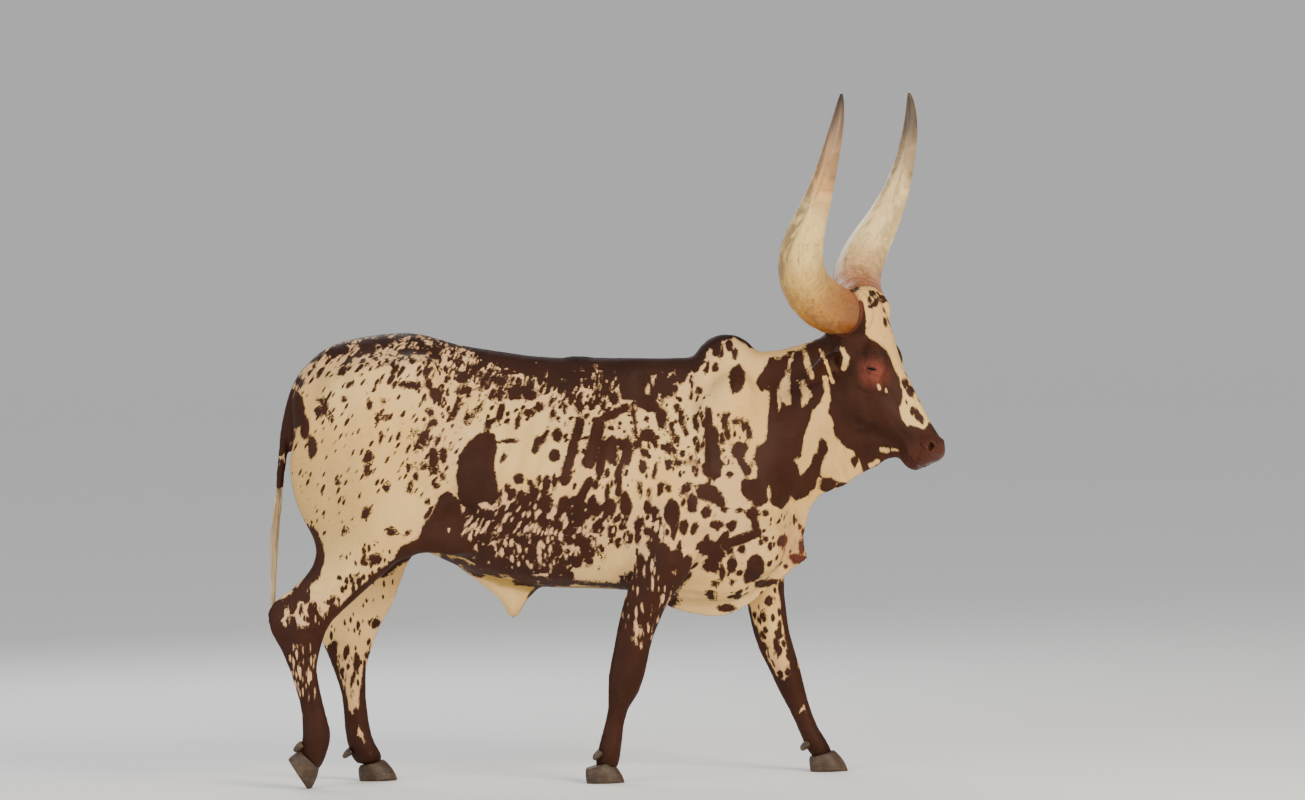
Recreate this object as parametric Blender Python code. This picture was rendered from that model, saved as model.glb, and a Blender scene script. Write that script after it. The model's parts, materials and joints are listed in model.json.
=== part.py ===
# A life-size ankole watusi ox, walking, in metres. +X is the way it walks, +Y its left, +Z up.
# The body is modelled whole from lofted trunk, neck, head and legs with muscle masses laid on them,
# then parted with thin cuts into named nodes. Eyes, horns, ears, claws and tail are pieces of their own.

import math
import random

import bmesh
import bpy
import numpy as np
from mathutils import Matrix, Vector
from mathutils.bvhtree import BVHTree

# Fineness of the fused flesh and the gap between neighbours
BODY_VOXEL = 0.009
HEAD_VOXEL = 0.0045
BODY_TRIANGLES = 5640
HEAD_TRIANGLES = 3600
TOUCH_GAP = 0.0003
RING_POINTS = 28

# The head: its poll, its turn to the right and how far the face leans from upright
POLL = Vector((0.911, -0.060, 1.5495))
HEAD_YAW = math.radians(20)
FACE_LEAN = math.radians(21.9)
EYE_RADIUS = 0.0200
LID_RADIUS = 0.0252
EYE_AT = (0.236, 0.080, 0.0825)

# Where the flesh is parted: a point on each cut and the way it faces
NECK_CUT = (Vector((0.780, 0.0, 1.140)), Vector((0.931, -0.164, 0.328)))
SHOULDER_CUT = (Vector((0.590, 0.0, 1.130)), Vector((0.990, 0.0, 0.136)))
FORELEG_TOP = 0.600
HINDLEG_TOP = 0.740

CLAW_LENGTH = 0.122
CLAW_HEIGHT = 0.057
CLAW_WIDTH = 0.050
CLAW_SPLIT = 0.006

SWITCH_LOCKS = 12

COLOURS = {
    "hide": ((0.62, 0.50, 0.36), 0.75),
    "dark_hide": ((0.075, 0.030, 0.018), 0.70),
    "horn": ((0.72, 0.60, 0.42), 0.40),
    "claw": ((0.13, 0.10, 0.075), 0.50),
    "eye": ((0.020, 0.012, 0.010), 0.08),
    "tail_hair": ((0.66, 0.55, 0.40), 0.65),
}


# Scene, materials and small mesh tools

def clear_scene():
    for thing in list(bpy.data.objects):
        bpy.data.objects.remove(thing)


def material(name):
    found = bpy.data.materials.get(name)
    if found:
        return found
    colour, roughness = COLOURS[name]
    made = bpy.data.materials.new(name)
    made.use_nodes = True
    shader = made.node_tree.nodes["Principled BSDF"]
    shader.inputs["Base Color"].default_value = (*colour, 1.0)
    shader.inputs["Roughness"].default_value = roughness
    shader.inputs["Metallic"].default_value = 0.0
    made.diffuse_color = (*colour, 1.0)
    return made


def add_object(name, mesh, slot="hide"):
    thing = bpy.data.objects.new(name, mesh)
    mesh.materials.clear()
    mesh.materials.append(material(slot))
    bpy.context.scene.collection.objects.link(thing)
    return thing


def remove_object(thing):
    mesh = thing.data
    bpy.data.objects.remove(thing)
    bpy.data.meshes.remove(mesh)


def mesh_from(bm, name="shape"):
    bmesh.ops.triangulate(bm, faces=bm.faces)
    bmesh.ops.recalc_face_normals(bm, faces=bm.faces)
    mesh = bpy.data.meshes.new(name)
    bm.to_mesh(mesh)
    bm.free()
    return mesh


def smooth_rows(rows, steps):
    """Rows of numbers with others set between them on a smooth curve through all of them."""
    rows = np.array(rows, float)
    padded = np.vstack([2 * rows[0] - rows[1], rows, 2 * rows[-1] - rows[-2]])
    made = []
    for i in range(1, len(padded) - 2):
        a, b, c, d = padded[i - 1 : i + 3]
        for step in range(steps):
            t = step / steps
            made.append(0.5 * (2 * b + (c - a) * t + (2 * a - 5 * b + 4 * c - d) * t * t
                               + (3 * b - a - 3 * c + d) * t ** 3))
    made.append(rows[-1])
    return made


def ease(t):
    t = min(1.0, max(0.0, t))
    return t * t * (3 - 2 * t)


def section(front, back, widths, side, squareness=0.82, count=RING_POINTS):
    """A closed ring from front to back whose half widths near the front, amid and near the back are given."""
    ring = []
    near, amid, far = widths
    for k in range(count):
        turn = 2 * math.pi * k / count
        t = (1 - math.cos(turn)) / 2
        if t < 0.5:
            width = near + (amid - near) * ease((t - 0.12) / 0.38)
        else:
            width = amid + (far - amid) * ease((t - 0.5) / 0.38)
        out = math.copysign(abs(math.sin(turn)) ** squareness, math.sin(turn)) * width
        ring.append(front.lerp(back, t) + side * out)
    return ring


def loft(rings):
    """A closed mesh through rings of the same number of points."""
    bm = bmesh.new()
    rows = [[bm.verts.new(p) for p in ring] for ring in rings]
    count = len(rows[0])
    for one, two in zip(rows, rows[1:]):
        for k in range(count):
            bm.faces.new((one[k], one[(k + 1) % count], two[(k + 1) % count], two[k]))
    bm.faces.new(rows[0])
    bm.faces.new(list(reversed(rows[-1])))
    return mesh_from(bm)


def tube(points, radii, sides=12, flat=1.0, lead=Vector((0, 0, 1))):
    """A round or flattened tapering tube along points; lead sets which way its flat side turns."""
    points = [Vector(p) for p in points]
    rings = []
    for i, point in enumerate(points):
        along = points[min(i + 1, len(points) - 1)] - points[max(i - 1, 0)]
        along.normalize()
        across = along.cross(lead)
        if across.length < 1e-4:
            across = along.cross(Vector((0, 1, 0)))
        across.normalize()
        up = across.cross(along)
        rings.append([point + (across * math.cos(2 * math.pi * k / sides)
                               + up * math.sin(2 * math.pi * k / sides) * flat) * radii[i]
                      for k in range(sides)])
    return loft(rings)


def closed_tube(points, radius, sides=6):
    """A ring-shaped tube whose ends meet."""
    bm = bmesh.new()
    centre = sum(points, Vector()) / len(points)
    rows = []
    for i, point in enumerate(points):
        along = (points[(i + 1) % len(points)] - points[i - 1]).normalized()
        out = (point - centre)
        out = (out - along * out.dot(along)).normalized()
        up = along.cross(out)
        rows.append([bm.verts.new(point + (out * math.cos(2 * math.pi * k / sides)
                                           + up * math.sin(2 * math.pi * k / sides)) * radius)
                     for k in range(sides)])
    for i, one in enumerate(rows):
        two = rows[(i + 1) % len(rows)]
        for k in range(sides):
            bm.faces.new((one[k], one[(k + 1) % sides], two[(k + 1) % sides], two[k]))
    return mesh_from(bm)


def ball(place, radii, segments=20, rings=12):
    """An ellipsoid; place is a matrix whose axes its radii lie along."""
    bm = bmesh.new()
    bmesh.ops.create_uvsphere(bm, u_segments=segments, v_segments=rings, radius=1.0)
    bmesh.ops.transform(bm, matrix=place @ Matrix.Diagonal((*radii, 1.0)), verts=bm.verts)
    return mesh_from(bm)


def joined(meshes):
    bm = bmesh.new()
    for mesh in meshes:
        bm.from_mesh(mesh)
        bpy.data.meshes.remove(mesh)
    made = bpy.data.meshes.new("joined")
    bm.to_mesh(made)
    bm.free()
    return made


def evaluated(thing):
    """The object's mesh with its modifiers applied, as a mesh of its own."""
    graph = bpy.context.evaluated_depsgraph_get()
    return bpy.data.meshes.new_from_object(thing.evaluated_get(graph))


def with_modifier(mesh, kind, **settings):
    """A mesh after one modifier."""
    thing = add_object("work", mesh)
    modifier = thing.modifiers.new(kind.lower(), kind)
    for key, value in settings.items():
        setattr(modifier, key, value)
    made = evaluated(thing)
    remove_object(thing)
    return made


def relax(mesh, rounds, strength, steps=(0.55, -0.56)):
    """Evens the surface: each round pulls in and, with two steps, pushes back so that nothing shrinks.
    strength gives each point's share, from its place."""
    points = np.empty(len(mesh.vertices) * 3)
    mesh.vertices.foreach_get("co", points)
    points = points.reshape(-1, 3)
    edges = np.empty(len(mesh.edges) * 2, int)
    mesh.edges.foreach_get("vertices", edges)
    one, two = edges.reshape(-1, 2).T
    size = len(points)
    links = np.bincount(one, minlength=size) + np.bincount(two, minlength=size)
    share = strength(points)[:, None]
    for _ in range(rounds):
        for pull in steps:
            total = np.stack([np.bincount(one, points[two, k], size) + np.bincount(two, points[one, k], size)
                              for k in range(3)], axis=1)
            points = points + pull * share * (total / links[:, None] - points)
    mesh.vertices.foreach_set("co", points.ravel())
    mesh.update()


def fused(meshes, voxel, evenings, triangles):
    """Overlapping closed shapes made one skin, evened, and thinned to about so many triangles."""
    mesh = with_modifier(joined(meshes), "REMESH", mode="VOXEL", voxel_size=voxel)
    for evening in evenings:
        relax(mesh, *evening)
    count = 2 * len(mesh.polygons)
    mesh = with_modifier(mesh, "DECIMATE", ratio=triangles / count, use_collapse_triangulate=True)
    return largest(mesh)


def largest(mesh):
    """Only the biggest closed surface of a mesh."""
    bm = bmesh.new()
    bm.from_mesh(mesh)
    left = set(bm.verts)
    best, best_span = set(), -1.0
    while left:
        group, edge_of = set(), [left.pop()]
        while edge_of:
            vert = edge_of.pop()
            group.add(vert)
            for edge in vert.link_edges:
                other = edge.other_vert(vert)
                if other in left:
                    left.discard(other)
                    edge_of.append(other)
        low = Vector(min(v.co[k] for v in group) for k in range(3))
        high = Vector(max(v.co[k] for v in group) for k in range(3))
        if (high - low).length > best_span:
            best, best_span = group, (high - low).length
    bmesh.ops.delete(bm, geom=[v for v in bm.verts if v not in best], context="VERTS")
    bm.to_mesh(mesh)
    bm.free()
    return mesh


def carved(mesh, cutters, operation="DIFFERENCE"):
    """A mesh cut, joined or kept by other closed meshes. Its largest closed surface stays."""
    for cutter in cutters:
        tool = add_object("tool", cutter.copy())
        mesh = with_modifier(mesh, "BOOLEAN", object=tool, operation=operation, solver="EXACT")
        remove_object(tool)
    return largest(mesh)


def united(mesh, others):
    """A mesh and many others made one closed body in one step."""
    group = bpy.data.collections.new("others")
    bpy.context.scene.collection.children.link(group)
    for other in others:
        group.objects.link(bpy.data.objects.new("other", other))
    made = with_modifier(mesh, "BOOLEAN", operand_type="COLLECTION", collection=group,
                         operation="UNION", solver="EXACT")
    for thing in list(group.objects):
        remove_object(thing)
    bpy.data.collections.remove(group)
    return largest(made)


def grown(mesh, by=2 * TOUCH_GAP):
    """A copy pushed out along its normals."""
    return with_modifier(mesh.copy(), "DISPLACE", strength=by, mid_level=0.0)


def half_space(point, facing, reach=3.0):
    """A large block whose near face lies on point and that fills the side that facing points to."""
    bm = bmesh.new()
    bmesh.ops.create_cube(bm, size=reach)
    turn = facing.to_track_quat("Z", "Y").to_matrix().to_4x4()
    place = Matrix.Translation(point) @ turn @ Matrix.Translation((0, 0, reach / 2))
    bmesh.ops.transform(bm, matrix=place, verts=bm.verts)
    return mesh_from(bm)


def block(low, high):
    bm = bmesh.new()
    bmesh.ops.create_cube(bm, size=1.0)
    low, high = Vector(low), Vector(high)
    size = Matrix.Diagonal((*(high - low), 1.0))
    bmesh.ops.transform(bm, matrix=Matrix.Translation((low + high) / 2) @ size, verts=bm.verts)
    return mesh_from(bm)


# Trunk: each row is a section's top and bottom (x, z), then its half widths high, amid and low

SIDE = Vector((0, 1, 0))

TRUNK = [
    (-0.958, 1.240, -0.962, 1.120, 0.040, 0.055, 0.045),   # tail root
    (-0.930, 1.318, -0.955, 1.010, 0.080, 0.115, 0.090),   # pin bones
    (-0.868, 1.385, -0.905, 0.900, 0.110, 0.165, 0.135),
    (-0.788, 1.420, -0.820, 0.830, 0.140, 0.200, 0.165),
    (-0.659, 1.440, -0.680, 0.790, 0.165, 0.222, 0.180),   # rump
    (-0.547, 1.438, -0.568, 0.752, 0.165, 0.228, 0.185),   # hook bones
    (-0.436, 1.405, -0.440, 0.690, 0.140, 0.228, 0.190),   # flank
    (-0.324, 1.383, -0.320, 0.645, 0.132, 0.246, 0.200),   # loin
    (-0.165, 1.358, -0.160, 0.618, 0.130, 0.262, 0.208),
    (-0.005, 1.351, 0.000, 0.610, 0.130, 0.264, 0.205),    # barrel
    (0.123, 1.349, 0.110, 0.600, 0.125, 0.252, 0.190),
    (0.251, 1.346, 0.230, 0.575, 0.110, 0.226, 0.165),     # heart girth
    (0.360, 1.350, 0.330, 0.560, 0.092, 0.210, 0.150),
    (0.440, 1.352, 0.430, 0.558, 0.080, 0.200, 0.140),     # withers
    (0.520, 1.335, 0.520, 0.600, 0.080, 0.180, 0.125),
    (0.575, 1.230, 0.590, 0.670, 0.080, 0.145, 0.100),     # chest front
    (0.610, 1.080, 0.625, 0.760, 0.055, 0.090, 0.060),
]

# Neck: the same, and how far the section has swung to the right
NECK = [
    (0.440, 1.340, 0.480, 0.700, 0.070, 0.155, 0.120, 0.000),
    (0.520, 1.360, 0.560, 0.740, 0.064, 0.145, 0.095, 0.000),
    (0.580, 1.363, 0.630, 0.800, 0.060, 0.126, 0.072, -0.003),
    (0.635, 1.372, 0.675, 0.880, 0.060, 0.114, 0.062, -0.008),
    (0.685, 1.387, 0.725, 0.945, 0.064, 0.108, 0.060, -0.015),
    (0.735, 1.405, 0.775, 0.985, 0.072, 0.104, 0.062, -0.024),
    (0.790, 1.432, 0.825, 1.020, 0.078, 0.100, 0.060, -0.036),
    (0.840, 1.462, 0.868, 1.060, 0.064, 0.085, 0.050, -0.047),
]

# Dewlap and brisket: the free edge (x, z), where it grows from the neck or chest, and the swing
DEWLAP = [
    (0.975, 1.012, 0.935, 1.065, -0.084),
    (0.935, 1.003, 0.890, 1.090, -0.069),
    (0.904, 0.980, 0.855, 1.095, -0.059),
    (0.878, 0.970, 0.830, 1.090, -0.053),
    (0.845, 0.946, 0.795, 1.060, -0.046),
    (0.796, 0.915, 0.765, 1.030, -0.037),
    (0.748, 0.901, 0.725, 1.010, -0.026),
    (0.715, 0.879, 0.670, 0.985, -0.018),
    (0.692, 0.841, 0.630, 0.930, -0.012),
    (0.678, 0.790, 0.600, 0.870, -0.007),
    (0.674, 0.738, 0.580, 0.800, -0.003),
    (0.684, 0.692, 0.560, 0.740, 0.000),
    (0.631, 0.652, 0.530, 0.710, 0.000),
    (0.556, 0.596, 0.490, 0.670, 0.000),
    (0.475, 0.539, 0.440, 0.640, 0.000),
    (0.394, 0.509, 0.380, 0.620, 0.000),
    (0.299, 0.521, 0.300, 0.630, 0.000),
    (0.220, 0.548, 0.240, 0.640, 0.000),
]
DEWLAP_WIDTHS = (0.011, 0.019, 0.036)

# Muscles and bones under the hide: centre with y for the left side, radii, and pitch in degrees
TRUNK_MASSES = [
    ((0.430, 0.000, 1.305), (0.112, 0.066, 0.113), 0),      # hump
    ((0.400, 0.098, 1.090), (0.105, 0.084, 0.235), 22),     # shoulder blade
    ((0.520, 0.098, 0.880), (0.092, 0.078, 0.120), 0),      # point of the shoulder
    ((0.505, 0.055, 0.740), (0.105, 0.075, 0.100), 20),     # breast
    ((0.290, 0.142, 0.850), (0.150, 0.076, 0.135), -20),    # upper arm
    ((-0.690, 0.120, 1.150), (0.215, 0.096, 0.230), 12),    # haunch
    ((-0.570, 0.146, 1.312), (0.100, 0.062, 0.070), -14),   # hook bone
    ((-0.915, 0.072, 1.220), (0.050, 0.046, 0.070), 0),     # pin bone
    ((-0.605, 0.145, 0.840), (0.085, 0.062, 0.125), 0),     # stifle
    ((-0.500, 0.150, 0.780), (0.125, 0.040, 0.052), 14),    # flank fold
]

# Legs: height, back and front x, side, then half widths at the front, amid and at the back
HIND_NEAR = [
    (1.160, -0.920, -0.560, 0.115, 0.055, 0.085, 0.055),
    (1.070, -0.978, -0.530, 0.124, 0.068, 0.104, 0.072),
    (0.970, -0.974, -0.500, 0.130, 0.068, 0.106, 0.078),
    (0.908, -0.962, -0.490, 0.132, 0.064, 0.100, 0.074),
    (0.844, -0.936, -0.515, 0.132, 0.060, 0.090, 0.068),
    (0.796, -0.909, -0.542, 0.130, 0.055, 0.080, 0.060),
    (0.754, -0.897, -0.574, 0.130, 0.052, 0.074, 0.052),   # above the stifle's end
    (0.717, -0.907, -0.622, 0.130, 0.050, 0.066, 0.044),
    (0.685, -0.925, -0.655, 0.130, 0.047, 0.060, 0.036),
    (0.654, -0.952, -0.700, 0.130, 0.043, 0.053, 0.028),   # gaskin
    (0.622, -0.995, -0.736, 0.130, 0.040, 0.046, 0.020),
    (0.591, -1.034, -0.772, 0.130, 0.039, 0.042, 0.017),
    (0.560, -1.050, -0.808, 0.130, 0.039, 0.042, 0.020),   # hock
    (0.528, -1.046, -0.840, 0.130, 0.039, 0.043, 0.025),
    (0.496, -1.037, -0.860, 0.130, 0.038, 0.042, 0.027),
    (0.464, -1.019, -0.871, 0.130, 0.036, 0.040, 0.027),
    (0.432, -1.003, -0.881, 0.130, 0.033, 0.036, 0.026),
    (0.400, -0.990, -0.888, 0.130, 0.030, 0.032, 0.025),
    (0.368, -0.978, -0.890, 0.130, 0.028, 0.030, 0.024),
    (0.304, -0.960, -0.880, 0.130, 0.027, 0.028, 0.023),   # shank
    (0.239, -0.946, -0.866, 0.130, 0.028, 0.030, 0.026),
    (0.175, -0.944, -0.851, 0.130, 0.034, 0.038, 0.033),   # fetlock
    (0.130, -0.949, -0.860, 0.130, 0.034, 0.037, 0.033),
    (0.092, -0.948, -0.874, 0.130, 0.034, 0.038, 0.032),
    (0.060, -0.940, -0.892, 0.130, 0.024, 0.030, 0.024),
]

HIND_FAR = [
    (1.160, -0.910, -0.550, 0.115, 0.055, 0.085, 0.055),
    (1.070, -0.970, -0.515, 0.124, 0.068, 0.104, 0.072),
    (0.970, -0.966, -0.484, 0.130, 0.068, 0.106, 0.078),
    (0.908, -0.952, -0.478, 0.132, 0.064, 0.100, 0.074),
    (0.844, -0.928, -0.500, 0.132, 0.060, 0.090, 0.068),
    (0.796, -0.900, -0.530, 0.130, 0.055, 0.080, 0.060),
    (0.754, -0.880, -0.556, 0.130, 0.052, 0.074, 0.052),
    (0.700, -0.868, -0.594, 0.130, 0.048, 0.062, 0.042),
    (0.652, -0.874, -0.621, 0.130, 0.043, 0.054, 0.030),
    (0.589, -0.897, -0.644, 0.130, 0.040, 0.046, 0.020),   # gaskin
    (0.541, -0.908, -0.668, 0.130, 0.039, 0.042, 0.019),
    (0.500, -0.908, -0.694, 0.130, 0.039, 0.043, 0.025),   # hock
    (0.461, -0.894, -0.711, 0.130, 0.038, 0.042, 0.027),
    (0.413, -0.873, -0.728, 0.130, 0.034, 0.037, 0.026),
    (0.365, -0.855, -0.742, 0.130, 0.030, 0.032, 0.025),
    (0.301, -0.834, -0.746, 0.130, 0.027, 0.029, 0.023),   # shank
    (0.237, -0.823, -0.744, 0.130, 0.028, 0.030, 0.026),
    (0.173, -0.820, -0.736, 0.130, 0.033, 0.037, 0.033),   # fetlock
    (0.125, -0.812, -0.724, 0.130, 0.033, 0.037, 0.033),
    (0.085, -0.800, -0.704, 0.130, 0.035, 0.038, 0.032),
    (0.055, -0.784, -0.706, 0.130, 0.030, 0.034, 0.026),
]

FORE_NEAR = [
    (0.980, 0.150, 0.420, 0.150, 0.045, 0.075, 0.045),
    (0.888, 0.146, 0.402, 0.155, 0.056, 0.082, 0.056),
    (0.760, 0.137, 0.351, 0.158, 0.054, 0.078, 0.058),     # elbow
    (0.665, 0.116, 0.301, 0.158, 0.052, 0.070, 0.053),
    (0.602, 0.095, 0.255, 0.156, 0.050, 0.063, 0.047),
    (0.570, 0.085, 0.231, 0.154, 0.048, 0.059, 0.043),
    (0.507, 0.068, 0.199, 0.151, 0.044, 0.052, 0.036),     # forearm
    (0.443, 0.054, 0.175, 0.149, 0.040, 0.045, 0.032),
    (0.379, 0.040, 0.161, 0.147, 0.040, 0.043, 0.030),
    (0.331, 0.032, 0.148, 0.146, 0.042, 0.046, 0.031),     # knee
    (0.284, 0.030, 0.130, 0.145, 0.038, 0.042, 0.029),
    (0.252, 0.030, 0.108, 0.144, 0.032, 0.034, 0.026),
    (0.220, 0.026, 0.092, 0.143, 0.028, 0.030, 0.025),
    (0.188, 0.018, 0.083, 0.142, 0.028, 0.030, 0.026),     # shank
    (0.124, 0.001, 0.073, 0.140, 0.034, 0.038, 0.034),     # fetlock
    (0.093, -0.006, 0.068, 0.140, 0.034, 0.038, 0.033),
    (0.066, -0.008, 0.064, 0.140, 0.034, 0.038, 0.031),
    (0.046, 0.000, 0.058, 0.140, 0.026, 0.031, 0.025),
]

FORE_FAR = [
    (0.980, 0.340, 0.580, 0.145, 0.045, 0.070, 0.045),
    (0.888, 0.390, 0.606, 0.150, 0.052, 0.076, 0.054),
    (0.780, 0.440, 0.618, 0.154, 0.052, 0.074, 0.056),
    (0.690, 0.468, 0.612, 0.156, 0.050, 0.068, 0.051),
    (0.594, 0.480, 0.606, 0.155, 0.048, 0.060, 0.045),
    (0.530, 0.484, 0.609, 0.152, 0.044, 0.053, 0.038),     # forearm
    (0.466, 0.496, 0.617, 0.149, 0.040, 0.046, 0.033),
    (0.402, 0.514, 0.632, 0.147, 0.040, 0.043, 0.030),
    (0.337, 0.545, 0.650, 0.146, 0.041, 0.045, 0.030),     # knee
    (0.273, 0.573, 0.664, 0.145, 0.037, 0.040, 0.028),
    (0.208, 0.606, 0.681, 0.143, 0.028, 0.030, 0.025),
    (0.144, 0.636, 0.703, 0.141, 0.029, 0.032, 0.028),     # shank
    (0.111, 0.650, 0.722, 0.140, 0.033, 0.037, 0.033),     # fetlock
    (0.084, 0.662, 0.736, 0.140, 0.034, 0.038, 0.033),
    (0.062, 0.674, 0.744, 0.140, 0.033, 0.037, 0.031),
    (0.044, 0.684, 0.744, 0.140, 0.026, 0.031, 0.025),
]

# Sheath under the belly: height, back and front x, half width
SHEATH = [
    (0.680, -0.430, -0.110, 0.050),
    (0.630, -0.365, -0.165, 0.038),
    (0.590, -0.318, -0.208, 0.031),
    (0.560, -0.296, -0.232, 0.026),
    (0.536, -0.280, -0.246, 0.019),
    (0.526, -0.270, -0.254, 0.009),
]

# Head, in its own frame: u runs down the face from the poll, v from the face back to the jaw.
# Each row is the section's face end and jaw end (u, v), then half widths at face, amid and jaw.
HEAD = [
    (-0.010, 0.045, 0.030, 0.165, 0.060, 0.072, 0.060),
    (0.012, 0.012, 0.060, 0.205, 0.084, 0.100, 0.074),     # poll
    (0.070, -0.002, 0.125, 0.235, 0.090, 0.104, 0.074),
    (0.140, 0.006, 0.205, 0.252, 0.090, 0.100, 0.070),     # forehead
    (0.205, 0.012, 0.290, 0.262, 0.088, 0.098, 0.066),
    (0.262, 0.013, 0.355, 0.252, 0.070, 0.090, 0.062),     # under the eyes
    (0.322, 0.008, 0.415, 0.222, 0.054, 0.082, 0.050),
    (0.387, 0.001, 0.463, 0.182, 0.045, 0.070, 0.040),     # bridge of the nose
    (0.443, -0.003, 0.500, 0.154, 0.043, 0.060, 0.036),
    (0.488, -0.009, 0.528, 0.138, 0.052, 0.059, 0.036),
    (0.524, -0.015, 0.553, 0.124, 0.058, 0.060, 0.038),    # muzzle
    (0.555, -0.008, 0.570, 0.108, 0.054, 0.056, 0.036),
    (0.577, 0.016, 0.582, 0.088, 0.036, 0.040, 0.026),
]

# Masses of the head: centre (u, v, w) with w to the left, radii along u, v, w, and a turn in u-v
HEAD_MASSES = [
    ((0.130, 0.055, 0.000), (0.110, 0.052, 0.080), 0),      # forehead
    ((0.004, 0.075, 0.040), (0.040, 0.070, 0.060), 0),      # poll crest
    ((0.045, 0.080, 0.085), (0.078, 0.080, 0.034), 0),      # horn boss
    ((0.200, 0.060, 0.070), (0.062, 0.038, 0.036), 8),      # brow
    ((0.236, 0.082, 0.072), (0.046, 0.042, 0.031), 0),      # round the eye
    ((0.272, 0.098, 0.068), (0.060, 0.034, 0.028), 8),      # under the eye
    ((0.330, 0.108, 0.060), (0.090, 0.026, 0.026), 12),     # cheek bone
    ((0.300, 0.180, 0.060), (0.110, 0.064, 0.036), 30),     # chewing muscle
    ((0.350, 0.226, 0.042), (0.070, 0.036, 0.028), 48),     # jaw angle
    ((0.530, 0.022, 0.040), (0.038, 0.032, 0.024), 0),      # nostril wing
    ((0.543, 0.026, 0.000), (0.040, 0.044, 0.052), 0),      # nose pad
    ((0.528, 0.074, 0.030), (0.050, 0.030, 0.032), 22),     # upper lip
    ((0.545, 0.108, 0.008), (0.040, 0.020, 0.036), 20),     # lower lip and chin
    ((0.165, 0.158, 0.078), (0.042, 0.040, 0.034), 0),      # ear root
    ((0.330, 0.215, 0.000), (0.150, 0.055, 0.050), 42),     # throat
]

# Mouth: from the corner of the lips to the middle of the muzzle, for the left side
MOUTH = [(0.492, 0.118, 0.058), (0.518, 0.100, 0.058), (0.543, 0.084, 0.052),
         (0.566, 0.070, 0.036), (0.581, 0.064, 0.014)]
MOUTH_GROOVE = 0.0034

# Horn: where the two horns' middle lies (x, z), how far out, and the radius
HORN = [
    (0.850, 1.481, 0.074, 0.060),
    (0.841, 1.484, 0.100, 0.071),
    (0.824, 1.489, 0.134, 0.081),
    (0.792, 1.520, 0.195, 0.083),
    (0.770, 1.572, 0.250, 0.080),
    (0.773, 1.640, 0.306, 0.075),
    (0.796, 1.709, 0.350, 0.066),
    (0.825, 1.773, 0.374, 0.055),
    (0.851, 1.836, 0.385, 0.0465),
    (0.874, 1.900, 0.388, 0.038),
    (0.892, 1.964, 0.388, 0.0320),
    (0.907, 2.027, 0.383, 0.0270),
    (0.918, 2.094, 0.370, 0.0200),
    (0.922, 2.148, 0.353, 0.0115),
    (0.922, 2.174, 0.342, 0.0040),
]

# Ear: share of the length, half width, depth of the cup, thickness
EAR_LENGTH = 0.185
EAR = [
    (-0.12, 0.018, 0.020, 0.010),
    (0.02, 0.024, 0.030, 0.009),
    (0.18, 0.040, 0.034, 0.0070),
    (0.38, 0.051, 0.032, 0.0060),
    (0.58, 0.052, 0.026, 0.0055),
    (0.76, 0.042, 0.018, 0.0050),
    (0.91, 0.024, 0.009, 0.0045),
    (1.00, 0.007, 0.002, 0.0035),
]
EAR_ROOT = (0.165, 0.160, 0.096)

TAIL = [
    (-0.860, 1.335, 0.040),
    (-0.890, 1.318, 0.036),
    (-0.918, 1.290, 0.031),
    (-0.944, 1.245, 0.027),
    (-0.966, 1.185, 0.0225),
    (-0.982, 1.125, 0.0190),
    (-0.990, 1.070, 0.0165),
    (-0.999, 1.009, 0.0148),
    (-1.006, 0.945, 0.0135),
]
SWITCH = [
    (-1.0063, 0.9438, 0.0130),
    (-1.018, 0.860, 0.0118),
    (-1.026, 0.770, 0.0104),
    (-1.031, 0.680, 0.0084),
    (-1.033, 0.600, 0.0058),
    (-1.033, 0.532, 0.0025),
]
SWITCH_END = 0.530


def everywhere(points):
    return np.ones(len(points))


def above_legs(points):
    """Full strength on the trunk and little on the legs, which are thin."""
    return np.clip((points[:, 2] - 0.55) / 0.2, 0.2, 1.0)


def on_flanks(points):
    """Only the broad sides, so that back, hump, dewlap, belly and legs keep their outlines."""
    x, y, z = points.T
    return (np.clip((abs(y) - 0.035) / 0.05, 0, 1) * np.clip((z - 0.66) / 0.12, 0, 1)
            * np.clip((0.70 - x) / 0.12, 0, 1))


def neck_shapes():
    rings = [section(Vector((a, y, b)), Vector((c, y, d)), (w1, w2, w3), SIDE)
             for a, b, c, d, w1, w2, w3, y in smooth_rows(NECK, 3)]
    shapes = [loft(rings)]
    rings = [section(Vector((a, y, b)), Vector((c, y, d)), DEWLAP_WIDTHS, SIDE, 0.7)
             for a, b, c, d, y in smooth_rows(DEWLAP, 3)]
    shapes.append(loft(rings))
    return shapes


def trunk_shapes():
    rings = [section(Vector((a, 0, b)), Vector((c, 0, d)), (w1, w2, w3), SIDE)
             for a, b, c, d, w1, w2, w3 in smooth_rows(TRUNK, 3)]
    shapes = [loft(rings)]
    rings = [section(Vector((front, 0, z)), Vector((back, 0, z)), (w, w, w), SIDE, 1.0)
             for z, back, front, w in smooth_rows(SHEATH, 3)]
    shapes.append(loft(rings))
    for centre, radii, pitch in TRUNK_MASSES:
        for side in ((1,) if centre[1] == 0 else (1, -1)):
            place = Matrix.Translation((centre[0], centre[1] * side, centre[2]))
            shapes.append(ball(place @ Matrix.Rotation(math.radians(pitch), 4, "Y"), radii))
    return shapes


def leg_shape(rows, side):
    rings = []
    for z, back, front, out, w1, w2, w3 in smooth_rows(rows, 3):
        y = out * side
        rings.append(section(Vector((front, y, z)), Vector((back, y, z)), (w1, w2, w3), SIDE, 0.9, 24))
    return loft(rings)


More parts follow.
